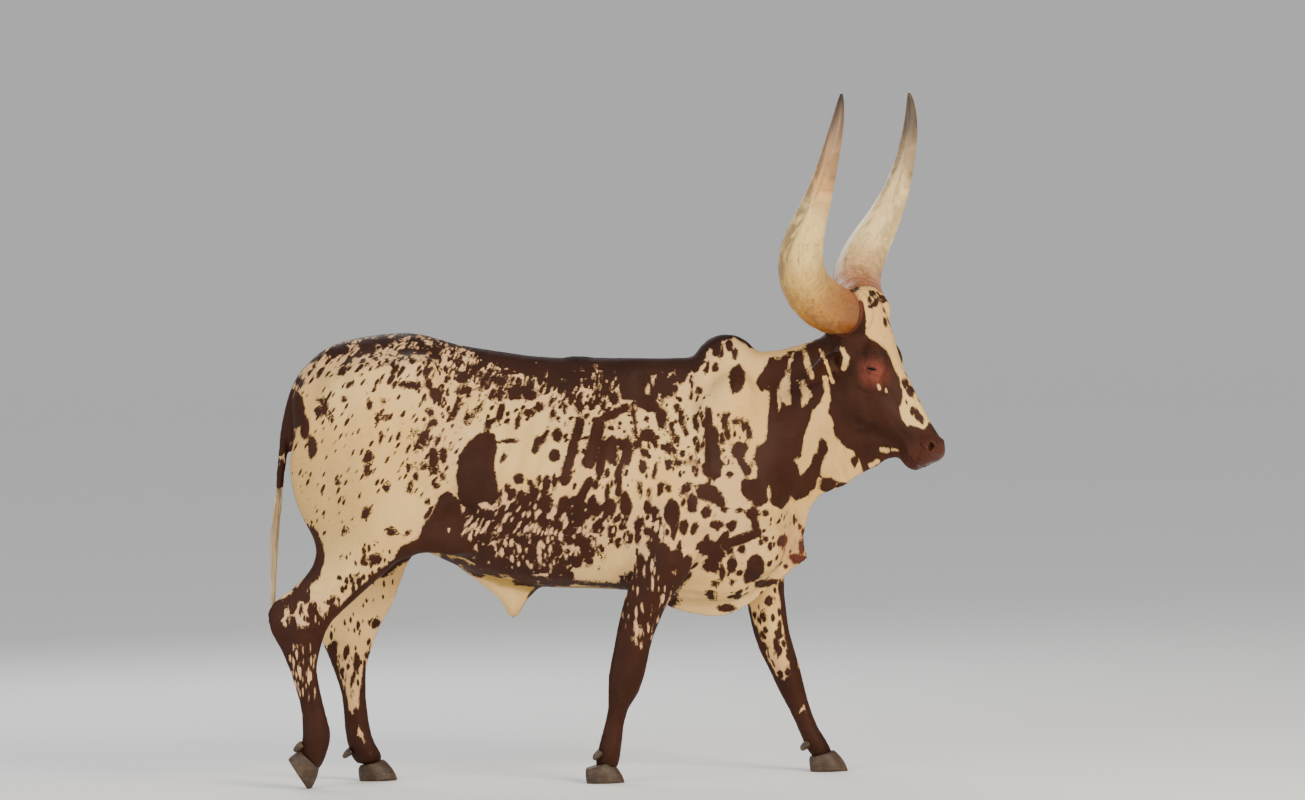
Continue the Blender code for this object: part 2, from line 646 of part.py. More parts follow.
def head_frame():
    """The head's own axes: u down the face, v back to the jaw, w to the left."""
    ahead = Vector((math.cos(HEAD_YAW), -math.sin(HEAD_YAW), 0))
    left = Vector((math.sin(HEAD_YAW), math.cos(HEAD_YAW), 0))
    up = Vector((0, 0, 1))
    down_face = ahead * math.sin(FACE_LEAN) - up * math.cos(FACE_LEAN)
    to_jaw = -ahead * math.cos(FACE_LEAN) - up * math.sin(FACE_LEAN)
    frame = Matrix((down_face, to_jaw, left)).transposed().to_4x4()
    frame.translation = POLL
    return frame


HEAD_FRAME = head_frame()


def at_head(u, v, w):
    return HEAD_FRAME @ Vector((u, v, w))


def head_shapes():
    left = HEAD_FRAME.to_3x3() @ Vector((0, 0, 1))
    rings = [section(at_head(a, b, 0), at_head(c, d, 0), (w1, w2, w3), left, 0.8)
             for a, b, c, d, w1, w2, w3 in smooth_rows(HEAD, 3)]
    shapes = [loft(rings)]
    for (u, v, w), radii, turn in HEAD_MASSES:
        for side in ((1,) if w == 0 else (1, -1)):
            place = HEAD_FRAME @ Matrix.Translation((u, v, w * side))
            shapes.append(ball(place @ Matrix.Rotation(-math.radians(turn), 4, "Z"), radii))
    return shapes + [nostril_rim(1), nostril_rim(-1)]


def eye_centre(side):
    u, v, w = EYE_AT
    return at_head(u, v, w * side)


def lid_axes(side):
    """The way an eye looks out, the line from its back corner to its front one, and the line across it."""
    turn = HEAD_FRAME.to_3x3()
    out = (turn @ Vector((0.06, -0.22, side))).normalized()
    along = turn @ Vector((0.55, -0.83, 0))
    along = (along - out * along.dot(out)).normalized()
    return out, along, out.cross(along)


def lid_opening(side):
    """What is cut from the ball of the lids so that they part in an almond over the eyeball."""
    out, along, across = lid_axes(side)
    place = Matrix((along, across, out)).transposed().to_4x4()
    place.translation = eye_centre(side) + out * 0.0250
    return ball(place, (0.0168, 0.0092, 0.0150), 16, 10)


def nostril_cutter(side):
    place = HEAD_FRAME @ Matrix.Translation((0.535, 0.008, 0.056 * side))
    turn = Matrix.Rotation(math.radians(38), 4, "Z") @ Matrix.Rotation(math.radians(28 * side), 4, "X")
    return ball(place @ turn, (0.017, 0.0085, 0.020), 12, 8)


def nostril_rim(side):
    """The raised wing round a nostril."""
    place = HEAD_FRAME @ Matrix.Translation((0.535, 0.008, 0.0520 * side))
    turn = Matrix.Rotation(math.radians(38), 4, "Z") @ Matrix.Rotation(math.radians(28 * side), 4, "X")
    points = []
    for k in range(12):
        angle = 2 * math.pi * k / 12
        points.append(place @ turn @ Vector((math.cos(angle) * 0.0205, math.sin(angle) * 0.0120, 0)))
    return closed_tube(points, 0.0066)


def mouth_cutter(head):
    """A thin groove along the line where the lips meet, laid on the head's own surface."""
    bm = bmesh.new()
    bm.from_mesh(head)
    tree = BVHTree.FromBMesh(bm)
    bm.free()
    places = [at_head(u, v, w) for u, v, w in MOUTH]
    places += [at_head(u, v, -w) for u, v, w in reversed(MOUTH)]
    path = [tree.find_nearest(Vector(p))[0] for p in smooth_rows([tuple(p) for p in places], 3)]
    ends = [0.4, 0.75]
    radii = [MOUTH_GROOVE * e for e in ends] + [MOUTH_GROOVE] * (len(path) - 4)
    radii += [MOUTH_GROOVE * e for e in reversed(ends)]
    return tube(path, radii, 6)


def head_node():
    """The head, fused with the top of the neck, then given lids, nostrils, mouth and eye sockets."""
    evenings = [(16, everywhere, (0.5,)), (30, everywhere)]
    head = fused(head_shapes() + neck_shapes(), HEAD_VOXEL, evenings, HEAD_TRIANGLES)
    head = carved(head, [half_space(*NECK_CUT)], "INTERSECT")
    lids = [ball(Matrix.Translation(eye_centre(side)), (LID_RADIUS,) * 3, 18, 12) for side in (1, -1)]
    head = carved(head, lids, "UNION")
    cutters = [nostril_cutter(1), nostril_cutter(-1), mouth_cutter(head)]
    for side in (1, -1):
        place = Matrix.Translation(eye_centre(side))
        cutters += [lid_opening(side), ball(place, (EYE_RADIUS + TOUCH_GAP,) * 3, 14, 9)]
    return carved(head, cutters)


def ear_shape(side):
    turn = HEAD_FRAME.to_3x3()
    ahead = Vector((math.cos(HEAD_YAW), -math.sin(HEAD_YAW), 0))
    left = turn @ Vector((0, 0, 1))
    up = Vector((0, 0, 1))
    root = at_head(EAR_ROOT[0], EAR_ROOT[1], EAR_ROOT[2] * side)
    along = (left * side * 0.150 - ahead * 0.070 - up * 0.058).normalized()
    facing = ahead * 0.85 - up * 0.35 + left * side * 0.2
    facing = (facing - along * facing.dot(along)).normalized()
    across = along.cross(facing)
    rings = []
    for share, half, depth, thick in smooth_rows(EAR, 2):
        droop = -up * 0.018 * max(share, 0) ** 2
        middle = root + along * EAR_LENGTH * share + droop
        steps = 7
        outer, inner = [], []
        for k in range(steps + 1):
            t = 2 * k / steps - 1
            back = -facing * depth * (1 - t * t)
            edge = 1 - 0.35 * abs(t) ** 3
            outer.append(middle + across * half * t + back - facing * thick * 0.5 * edge)
            inner.append(middle + across * half * 0.93 * t + back * 0.86 + facing * thick * 0.5 * edge)
        rings.append(outer + inner[::-1])
    return loft(rings)


def horn_shape(side):
    ahead = Vector((math.cos(HEAD_YAW), -math.sin(HEAD_YAW), 0))
    left = HEAD_FRAME.to_3x3() @ Vector((0, 0, 1))
    points, radii = [], []
    for x, z, out, radius in smooth_rows(HORN, 2):
        forward = (x - POLL.x) / math.cos(HEAD_YAW)
        middle = Vector((POLL.x, POLL.y, z)) + ahead * forward
        points.append(middle + left * out * side)
        radii.append(radius)
    return tube(points, radii, 14, 1.0, Vector((1, 0, 0)))


def claw_shape(centre, inner, pitch, toe_x):
    """One claw of a cloven hoof: a rounded wedge with a flat sole, its toe ahead and its inner wall flat.
    centre is the foot's y, inner -1 or 1 the way the cleft lies, pitch stands it on its toe."""
    rings = []
    levels = ((0.0, 1.0, 1.0, 0.0), (0.30, 0.97, 0.98, -0.004), (0.65, 0.86, 0.93, -0.012),
              (0.92, 0.72, 0.84, -0.020), (1.0, 0.62, 0.74, -0.022))
    for height, length, width, shift in levels:
        ring = []
        for k in range(14):
            angle = 2 * math.pi * k / 14
            ahead = math.cos(angle)
            out = math.sin(angle)
            pointed = 1 - 0.38 * max(ahead, 0) ** 2
            spread = CLAW_WIDTH * 0.62 if out > 0 else CLAW_WIDTH * 0.38
            x = toe_x - CLAW_LENGTH / 2 + ahead * CLAW_LENGTH / 2 * length + shift
            y = out * spread * width * pointed - max(ahead, 0) ** 2 * CLAW_WIDTH * 0.10
            z = CLAW_HEIGHT * height * (1.0 + 0.16 * ahead)
            ring.append(Vector((x, (-inner) * y, z)))
        rings.append(ring)
    mesh = loft(rings)
    offset = centre - inner * (CLAW_SPLIT / 2 + CLAW_WIDTH * 0.38)
    mesh.transform(Matrix.Translation((0, offset, 0)))
    if pitch:
        toe = Matrix.Translation((toe_x, 0, 0))
        turn = Matrix.Rotation(math.radians(pitch), 4, "Y")
        mesh.transform(toe @ turn @ toe.inverted())
        mesh.transform(Matrix.Translation((0, 0, -0.008)))
        mesh = carved(mesh, [block((-2, -1, 0), (2, 1, 1))], "INTERSECT")
    return mesh


def dewclaw_shape(at, side_out):
    """A small blunt horn behind the fetlock."""
    start = Vector(at)
    aim = Vector((-0.75, side_out * 0.25, -0.62)).normalized()
    steps = (0.0, 0.35, 0.7, 0.9, 1.0)
    points = [start + aim * 0.034 * s for s in steps]
    return tube(points, (0.013, 0.0125, 0.0105, 0.0075, 0.0035), 8, 1.0, Vector((0, 1, 0)))


def path_at(rows, share):
    """A point a share of the way down a list of evenly read rows."""
    rows = smooth_rows(rows, 8)
    spot = share * (len(rows) - 1)
    low = min(int(spot), len(rows) - 2)
    return rows[low] + (rows[low + 1] - rows[low]) * (spot - low)


def switch_lock(root, turn, length, width, draw):
    """One flat tapering lock of the tail's hair, hanging and bending a little."""
    out = Vector((math.cos(turn), math.sin(turn), 0))
    points, radii = [], []
    sway = Vector((draw.uniform(-0.006, 0.004), draw.uniform(-0.008, 0.008), 0))
    for k in range(6):
        t = k / 5
        away = 0.003 + 0.007 * math.sin(math.pi * min(1.0, t * 1.1))
        drift = Vector((-0.030 * (1 - t * 0.35) * t * length / 0.3, 0, -length * t))
        points.append(root + drift + out * away + sway * t * t)
        radii.append(width * (0.55 + 0.45 * math.sin(math.pi * min(1.0, 0.25 + 0.6 * t))) * (1 - 0.86 * t ** 2.4))
    return tube(points, radii, 5, 0.42, out)


def tail_switch():
    """The tail's tuft: a slim core with tapering locks set round it, fused."""
    draw = random.Random(11)
    rows = smooth_rows([(x, z, r) for x, z, r in SWITCH], 2)
    core = tube([(x, 0, z) for x, z, r in rows], [r for x, z, r in rows], 8, 1.0, Vector((0, 1, 0)))
    locks = []
    for k in range(SWITCH_LOCKS):
        share = 0.06 + 0.66 * k / (SWITCH_LOCKS - 1)
        x, z, radius = path_at(SWITCH, share)
        length = (z - SWITCH_END) * (0.62 + 0.38 * (k / (SWITCH_LOCKS - 1))) * draw.uniform(0.90, 1.0)
        turn = k * 2.4
        locks.append(switch_lock(Vector((x, 0, z)), turn, length, draw.uniform(0.0065, 0.0085), draw))
    return united(core, locks)


def leg_region(low_x, high_x, side, top, inner):
    reach = sorted((inner * side, 0.40 * side))
    return (low_x, reach[0], -0.10), (high_x, reach[1], top)


LEGS = {
    "leg_hind_right": (HIND_NEAR, -1, (-1.20, -0.545), HINDLEG_TOP, 0.0),
    "leg_hind_left": (HIND_FAR, 1, (-1.20, -0.545), HINDLEG_TOP, 0.0),
    "leg_fore_right": (FORE_NEAR, -1, (-0.10, 0.33), FORELEG_TOP, 0.055),
    "leg_fore_left": (FORE_FAR, 1, (0.42, 0.90), FORELEG_TOP, 0.055),
}

# Hooves: x of the toe, side of the leg's middle, pitch in degrees, and the dewclaws' place (x, z)
HOOVES = {
    "leg_hind_right": (-0.925, 0.130, 58, (-0.945, 0.142)),
    "leg_hind_left": (-0.652, 0.130, 0, (-0.800, 0.098)),
    "leg_fore_right": (0.080, 0.140, 0, (0.006, 0.098)),
    "leg_fore_left": (0.798, 0.140, 0, (0.672, 0.092)),
}


def build():
    clear_scene()
    legs = [leg_shape(rows, side) for rows, side, _, _, _ in LEGS.values()]
    flesh = trunk_shapes() + neck_shapes() + legs + head_shapes()
    body = fused(flesh, BODY_VOXEL, [(44, on_flanks, (0.5,)), (50, above_legs)], BODY_TRIANGLES)

    head = head_node()
    behind_head = half_space(NECK_CUT[0] - NECK_CUT[1] * TOUCH_GAP, -NECK_CUT[1])
    neck = carved(body.copy(), [behind_head, half_space(*SHOULDER_CUT)], "INTERSECT")
    behind_neck = half_space(SHOULDER_CUT[0] - SHOULDER_CUT[1] * TOUCH_GAP, -SHOULDER_CUT[1])
    torso = carved(body.copy(), [behind_neck], "INTERSECT")

    parts = {}
    gap = Vector((TOUCH_GAP,) * 3)
    for name, (_, side, (low_x, high_x), top, inner) in LEGS.items():
        low, high = leg_region(low_x, high_x, side, top, inner)
        leg = carved(body.copy(), [block(low, high)], "INTERSECT")
        torso = carved(torso, [block(Vector(low) - gap, Vector(high) + gap)])
        parts[name] = (leg, "dark_hide")

    for side, word in ((1, "left"), (-1, "right")):
        horn, ear = horn_shape(side), ear_shape(side)
        sockets = [grown(horn), grown(ear)]
        head, neck = carved(head, sockets), carved(neck, sockets)
        parts["horn_" + word] = (horn, "horn")
        parts["ear_" + word] = (ear, "dark_hide")
        place = Matrix.Translation(eye_centre(side))
        parts["eye_" + word] = (ball(place, (EYE_RADIUS,) * 3, 14, 9), "eye")
    parts["head"] = (head, "dark_hide")
    parts["neck"] = (neck, "hide")

    for name, (toe, out, pitch, (claw_x, claw_z)) in HOOVES.items():
        side = LEGS[name][1]
        around_leg = [grown(parts[name][0])]
        which = name.replace("leg_", "")
        for inner, word in ((side, "inner"), (-side, "outer")):
            claw = carved(claw_shape(out * side, inner, pitch, toe), around_leg)
            parts["claw_%s_%s" % (which, word)] = (claw, "claw")
            spot = (claw_x, out * side - inner * 0.019, claw_z)
            dewclaw = carved(dewclaw_shape(spot, -inner), around_leg + [grown(claw)])
            parts["dewclaw_%s_%s" % (which, word)] = (dewclaw, "claw")

    rows = smooth_rows(TAIL, 2)
    tail = tube([(x, 0, z) for x, z, r in rows], [r for x, z, r in rows], 12, 1.0, SIDE)
    parts["tail"] = (tail, "dark_hide")
    parts["torso"] = (carved(torso, [grown(tail)]), "hide")
    parts["tail_switch"] = (tail_switch(), "tail_hair")

    corners = [vert.co for mesh, _ in parts.values() for vert in mesh.vertices]
    low = Vector(min(c[k] for c in corners) for k in range(3))
    high = Vector(max(c[k] for c in corners) for k in range(3))
    to_origin = Matrix.Translation((-(low.x + high.x) / 2, -(low.y + high.y) / 2, -low.z))
    for name, (mesh, slot) in parts.items():
        mesh.transform(to_origin)
        mesh.name = name
        thing = add_object(name, mesh, slot)
        mesh.shade_smooth()
        mesh.set_sharp_from_angle(angle=math.radians(50))
        thing.data = mesh


build()
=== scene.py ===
import math

import bpy
import numpy as np
from mathutils import Matrix, Vector
from mathutils.bvhtree import BVHTree
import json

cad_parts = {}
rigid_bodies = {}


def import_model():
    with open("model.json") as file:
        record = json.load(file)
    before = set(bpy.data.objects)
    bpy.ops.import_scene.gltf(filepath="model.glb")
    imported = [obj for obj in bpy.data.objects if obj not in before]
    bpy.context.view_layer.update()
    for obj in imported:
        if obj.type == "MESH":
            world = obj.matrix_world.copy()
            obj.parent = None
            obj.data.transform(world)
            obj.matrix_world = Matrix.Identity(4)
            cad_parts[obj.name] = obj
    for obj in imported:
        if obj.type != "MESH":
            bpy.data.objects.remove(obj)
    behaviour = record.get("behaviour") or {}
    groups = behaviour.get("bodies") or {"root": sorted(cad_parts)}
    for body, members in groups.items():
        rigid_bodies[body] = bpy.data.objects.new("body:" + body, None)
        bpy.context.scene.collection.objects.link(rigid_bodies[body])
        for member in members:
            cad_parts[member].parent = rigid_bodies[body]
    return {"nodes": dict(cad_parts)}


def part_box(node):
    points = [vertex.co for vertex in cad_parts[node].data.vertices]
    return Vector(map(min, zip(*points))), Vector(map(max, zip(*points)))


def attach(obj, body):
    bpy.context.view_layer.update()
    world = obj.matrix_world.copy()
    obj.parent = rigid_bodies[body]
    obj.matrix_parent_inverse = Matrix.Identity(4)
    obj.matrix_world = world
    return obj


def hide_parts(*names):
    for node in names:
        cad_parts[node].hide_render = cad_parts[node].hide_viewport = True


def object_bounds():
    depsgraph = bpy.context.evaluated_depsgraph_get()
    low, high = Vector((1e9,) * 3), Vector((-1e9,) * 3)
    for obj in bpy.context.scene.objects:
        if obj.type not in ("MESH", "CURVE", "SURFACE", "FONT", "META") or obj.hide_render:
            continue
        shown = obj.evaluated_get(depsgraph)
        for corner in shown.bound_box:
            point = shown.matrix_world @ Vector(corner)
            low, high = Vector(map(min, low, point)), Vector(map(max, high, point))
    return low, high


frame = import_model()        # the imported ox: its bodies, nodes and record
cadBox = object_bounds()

nodes = frame["nodes"]

# The side drawing: the ox seen from its right, which places camera, markings and strokes alike
drawing = {
    "step": 0.0032,                      # metres to one step of the drawing
    "roll": 0.0201,                      # how far the drawing is turned in its own plane
    "height": math.radians(2),           # how far the viewer looks down
    "origin": (600.0, 779.1),            # where the ox's own origin is on the drawing
    "middle": (0.168, 1.2131),           # what the camera looks at, across and up in metres
    "toe": 0.798, "leg": -0.140,         # the left fore toe and the right fore leg, before the ox was centred
}
# The head's own axes run from the poll down the face (u), back to the jaw (v) and to its left (w)
head = {
    "poll": (0.911, -0.060, 1.5495),
    "yaw": math.radians(20),
    "lean": math.radians(21.9),
    "eye": (0.236, 0.080, 0.0825),
    "cutPoint": (0.780, 0.0, 1.140),     # the plane where the neck ends
    "cutFacing": (0.931, -0.164, 0.328),
}


def shiftOfFrame():
    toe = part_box("claw_fore_left_inner")[1].x
    low = min(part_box("claw_fore_right_inner")[0].y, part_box("claw_fore_right_outer")[0].y)
    high = max(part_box("claw_fore_right_inner")[1].y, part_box("claw_fore_right_outer")[1].y)
    return np.array((toe - drawing["toe"], (low + high) / 2 - drawing["leg"], 0.0))


shift = shiftOfFrame()
cosRoll, sinRoll = math.cos(drawing["roll"]), math.sin(drawing["roll"])
cosRise, sinRise = math.cos(drawing["height"]), math.sin(drawing["height"])
acrossAxis = np.array((cosRoll, -sinRoll * sinRise, -sinRoll * cosRise))
upAxis = np.array((sinRoll, cosRoll * sinRise, cosRoll * cosRise))

headAhead = np.array((math.cos(head["yaw"]), -math.sin(head["yaw"]), 0.0))
headLeft = np.array((math.sin(head["yaw"]), math.cos(head["yaw"]), 0.0))
headDown = headAhead * math.sin(head["lean"]) - np.array((0, 0, 1.0)) * math.cos(head["lean"])
headBack = -headAhead * math.cos(head["lean"]) - np.array((0, 0, 1.0)) * math.sin(head["lean"])
headPoll = np.array(head["poll"]) + shift


def atHead(u, v, w):
    return headPoll + headDown * u + headBack * v + headLeft * w


def bothSides(u, v, w):
    return [atHead(u, v, w * side) for side in (1, -1)]


def clamp01(values):
    return np.clip(values, 0.0, 1.0)


def ease(values):
    t = clamp01(values)
    return t * t * (3 - 2 * t)


# Mesh tools

def onlySelect(thing):
    bpy.ops.object.select_all(action="DESELECT")
    thing.select_set(True)
    bpy.context.view_layer.objects.active = thing


def editPoints(thing, chosen):
    # goes into edit mode with only these points selected
    onlySelect(thing)
    bpy.ops.object.mode_set(mode="EDIT")
    bpy.ops.mesh.select_mode(type="VERT")
    bpy.ops.mesh.select_all(action="DESELECT")
    bpy.ops.object.mode_set(mode="OBJECT")
    thing.data.vertices.foreach_set("select", chosen)
    bpy.ops.object.mode_set(mode="EDIT")


def farFrom(points, place):
    return np.linalg.norm(points - place, axis=1)


def finishWith(thing, kind, **settings):
    onlySelect(thing)
    modifier = thing.modifiers.new(kind.lower(), kind)
    for key, value in settings.items():
        setattr(modifier, key, value)
    bpy.ops.object.modifier_apply(modifier=modifier.name)
    return thing


def copyOfNode(name, newName):
    made = bpy.data.objects.new(newName, nodes[name].data.copy())
    bpy.context.scene.collection.objects.link(made)
    made.data.materials.clear()
    onlySelect(made)
    bpy.ops.object.mode_set(mode="EDIT")
    bpy.ops.mesh.select_all(action="SELECT")
    bpy.ops.mesh.remove_doubles(threshold=0.00001)
    bpy.ops.mesh.customdata_custom_splitnormals_clear()
    bpy.ops.object.mode_set(mode="OBJECT")
    return made


def joinAll(things):
    bpy.ops.object.select_all(action="DESELECT")
    for thing in things:
        thing.select_set(True)
    bpy.context.view_layer.objects.active = things[0]
    bpy.ops.object.join()
    return things[0]


def pointsOf(mesh, what="co"):
    values = np.empty(len(mesh.vertices) * 3, np.float32)
    mesh.vertices.foreach_get(what, values)
    return values.reshape(-1, 3).astype(float)


def normalsOf(mesh):
    return pointsOf(mesh, "normal")


def cornersOf(mesh):
    corners = np.empty(len(mesh.loops), np.int32)
    mesh.loops.foreach_get("vertex_index", corners)
    return corners.reshape(-1, 3)


def setPoints(mesh, points):
    mesh.vertices.foreach_set("co", points.astype(np.float32).ravel())
    mesh.update()


def linksOf(mesh):
    edges = np.empty(len(mesh.edges) * 2, np.int32)
    mesh.edges.foreach_get("vertices", edges)
    one, two = edges.reshape(-1, 2).T
    count = np.bincount(one, minlength=len(mesh.vertices)) + np.bincount(two, minlength=len(mesh.vertices))
    return one, two, np.maximum(count, 1)


def neighbourMean(values, links):
    one, two, count = links
    size = len(values)
    total = [np.bincount(one, values[two, k], size) + np.bincount(two, values[one, k], size)
             for k in range(values.shape[1])]
    return np.stack(total, axis=1) / count[:, None]


def relax(mesh, rounds, share, steps=(0.55, -0.56)):
    points, links = pointsOf(mesh), linksOf(mesh)
    share = np.asarray(share, float).reshape(-1, 1)
    for _ in range(rounds):
        for pull in steps:
            points = points + pull * share * (neighbourMean(points, links) - points)
    setPoints(mesh, points)


def meshFromArrays(name, points, faces):
    mesh = bpy.data.meshes.new(name)
    mesh.vertices.add(len(points))
    mesh.vertices.foreach_set("co", points.astype(np.float32).ravel())
    mesh.loops.add(faces.size)
    mesh.loops.foreach_set("vertex_index", faces.astype(np.int32).ravel())
    mesh.polygons.add(len(faces))
    mesh.polygons.foreach_set("loop_start", np.arange(0, faces.size, faces.shape[1], dtype=np.int32))
    mesh.update(calc_edges=True)
    return mesh


def addPiece(name, mesh):
    made = bpy.data.objects.new(name, mesh)
    bpy.context.scene.collection.objects.link(made)
    return made


def finished(name, mesh, material, replaced=()):
    # the piece with its material, riding the ox's one body and standing for these nodes
    piece = bpy.data.objects.get(name) or addPiece(name, mesh)
    mesh.materials.clear()
    mesh.materials.append(material)
    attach(piece, "root")
    if replaced:
        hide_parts(*replaced)
    return piece


def smooth(piece):
    onlySelect(piece)
    bpy.ops.object.shade_smooth()


def strandFaces(base, sides, steps):
    # a closed tube over rings of points, counted from this one on
    made = [(base, base + 1, base + 2)]
    for step in range(steps):
        for corner in range(sides):
            a, b = base + step * sides + corner, base + step * sides + (corner + 1) % sides
            made += [(a, a + sides, b + sides), (a, b + sides, b)]
    last = base + steps * sides
    return made + [(last, last + 2, last + 1)]


def setVectors(mesh, name, values):
    made = mesh.attributes.new(name, "FLOAT_VECTOR", "POINT")
    made.data.foreach_set("vector", values.astype(np.float32).ravel())


def setNumbers(mesh, name, values):
    made = mesh.attributes.new(name, "FLOAT", "POINT")
    made.data.foreach_set("value", values.astype(np.float32).ravel())


# Places on the drawing, for points on either side of the ox

def inHead(points):
    return (points - shift - np.array(head["cutPoint"])) @ np.array(head["cutFacing"])


def headPlace(points):
    away = points - headPoll
    return away @ headDown, away @ headBack, away @ headLeft


def onDrawing(points):
    flat = points - shift
    mirrored = flat.copy()
    mirrored[:, 1] = -np.abs(mirrored[:, 1])
    w = (points - headPoll) @ headLeft
    turned = flat - np.outer(np.maximum(w, 0) * 2, headLeft)
    share = ease(inHead(points) / 0.06 + 0.5)[:, None]
    placed = mirrored * (1 - share) + turned * share
    return (drawing["origin"][0] + placed @ acrossAxis / drawing["step"],
            drawing["origin"][1] - placed @ upAxis / drawing["step"])


def ovalReach(x, y, oval):
    cx, cy, wide, high = oval[:4]
    lean = math.radians(oval[4]) if len(oval) > 4 else 0.0
    dx, dy = x - cx, cy - y
    a = dx * math.cos(lean) - dy * math.sin(lean)
    b = dx * math.sin(lean) + dy * math.cos(lean)
    return (1 - np.sqrt((a / wide) ** 2 + (b / high) ** 2)) * min(wide, high)


def farFromPath(x, y, path):
    best = np.full(len(x), 1e9)
    for (ax, ay), (bx, by) in zip(path, path[1:]):
        ex, ey = bx - ax, by - ay
        t = clamp01(((x - ax) * ex + (y - ay) * ey) / (ex * ex + ey * ey))
        best = np.minimum(best, np.hypot(x - ax - t * ex, y - ay - t * ey))
    return best


def strokeReach(x, y, path, width):
    return width - farFromPath(x, y, path)


def outlineReach(x, y, outline):
    closed = outline + outline[:1]
    inside = np.zeros(len(x), bool)
    for (ax, ay), (bx, by) in zip(closed, closed[1:]):
        if ay != by:
            crosses = (ay > y) != (by > y)
            inside ^= crosses & (x < ax + (y - ay) / (by - ay) * (bx - ax))
    away = farFromPath(x, y, closed)
    return np.where(inside, away, -away)


# Markings, in steps of the drawing: ovals are middle, half width, half height and lean

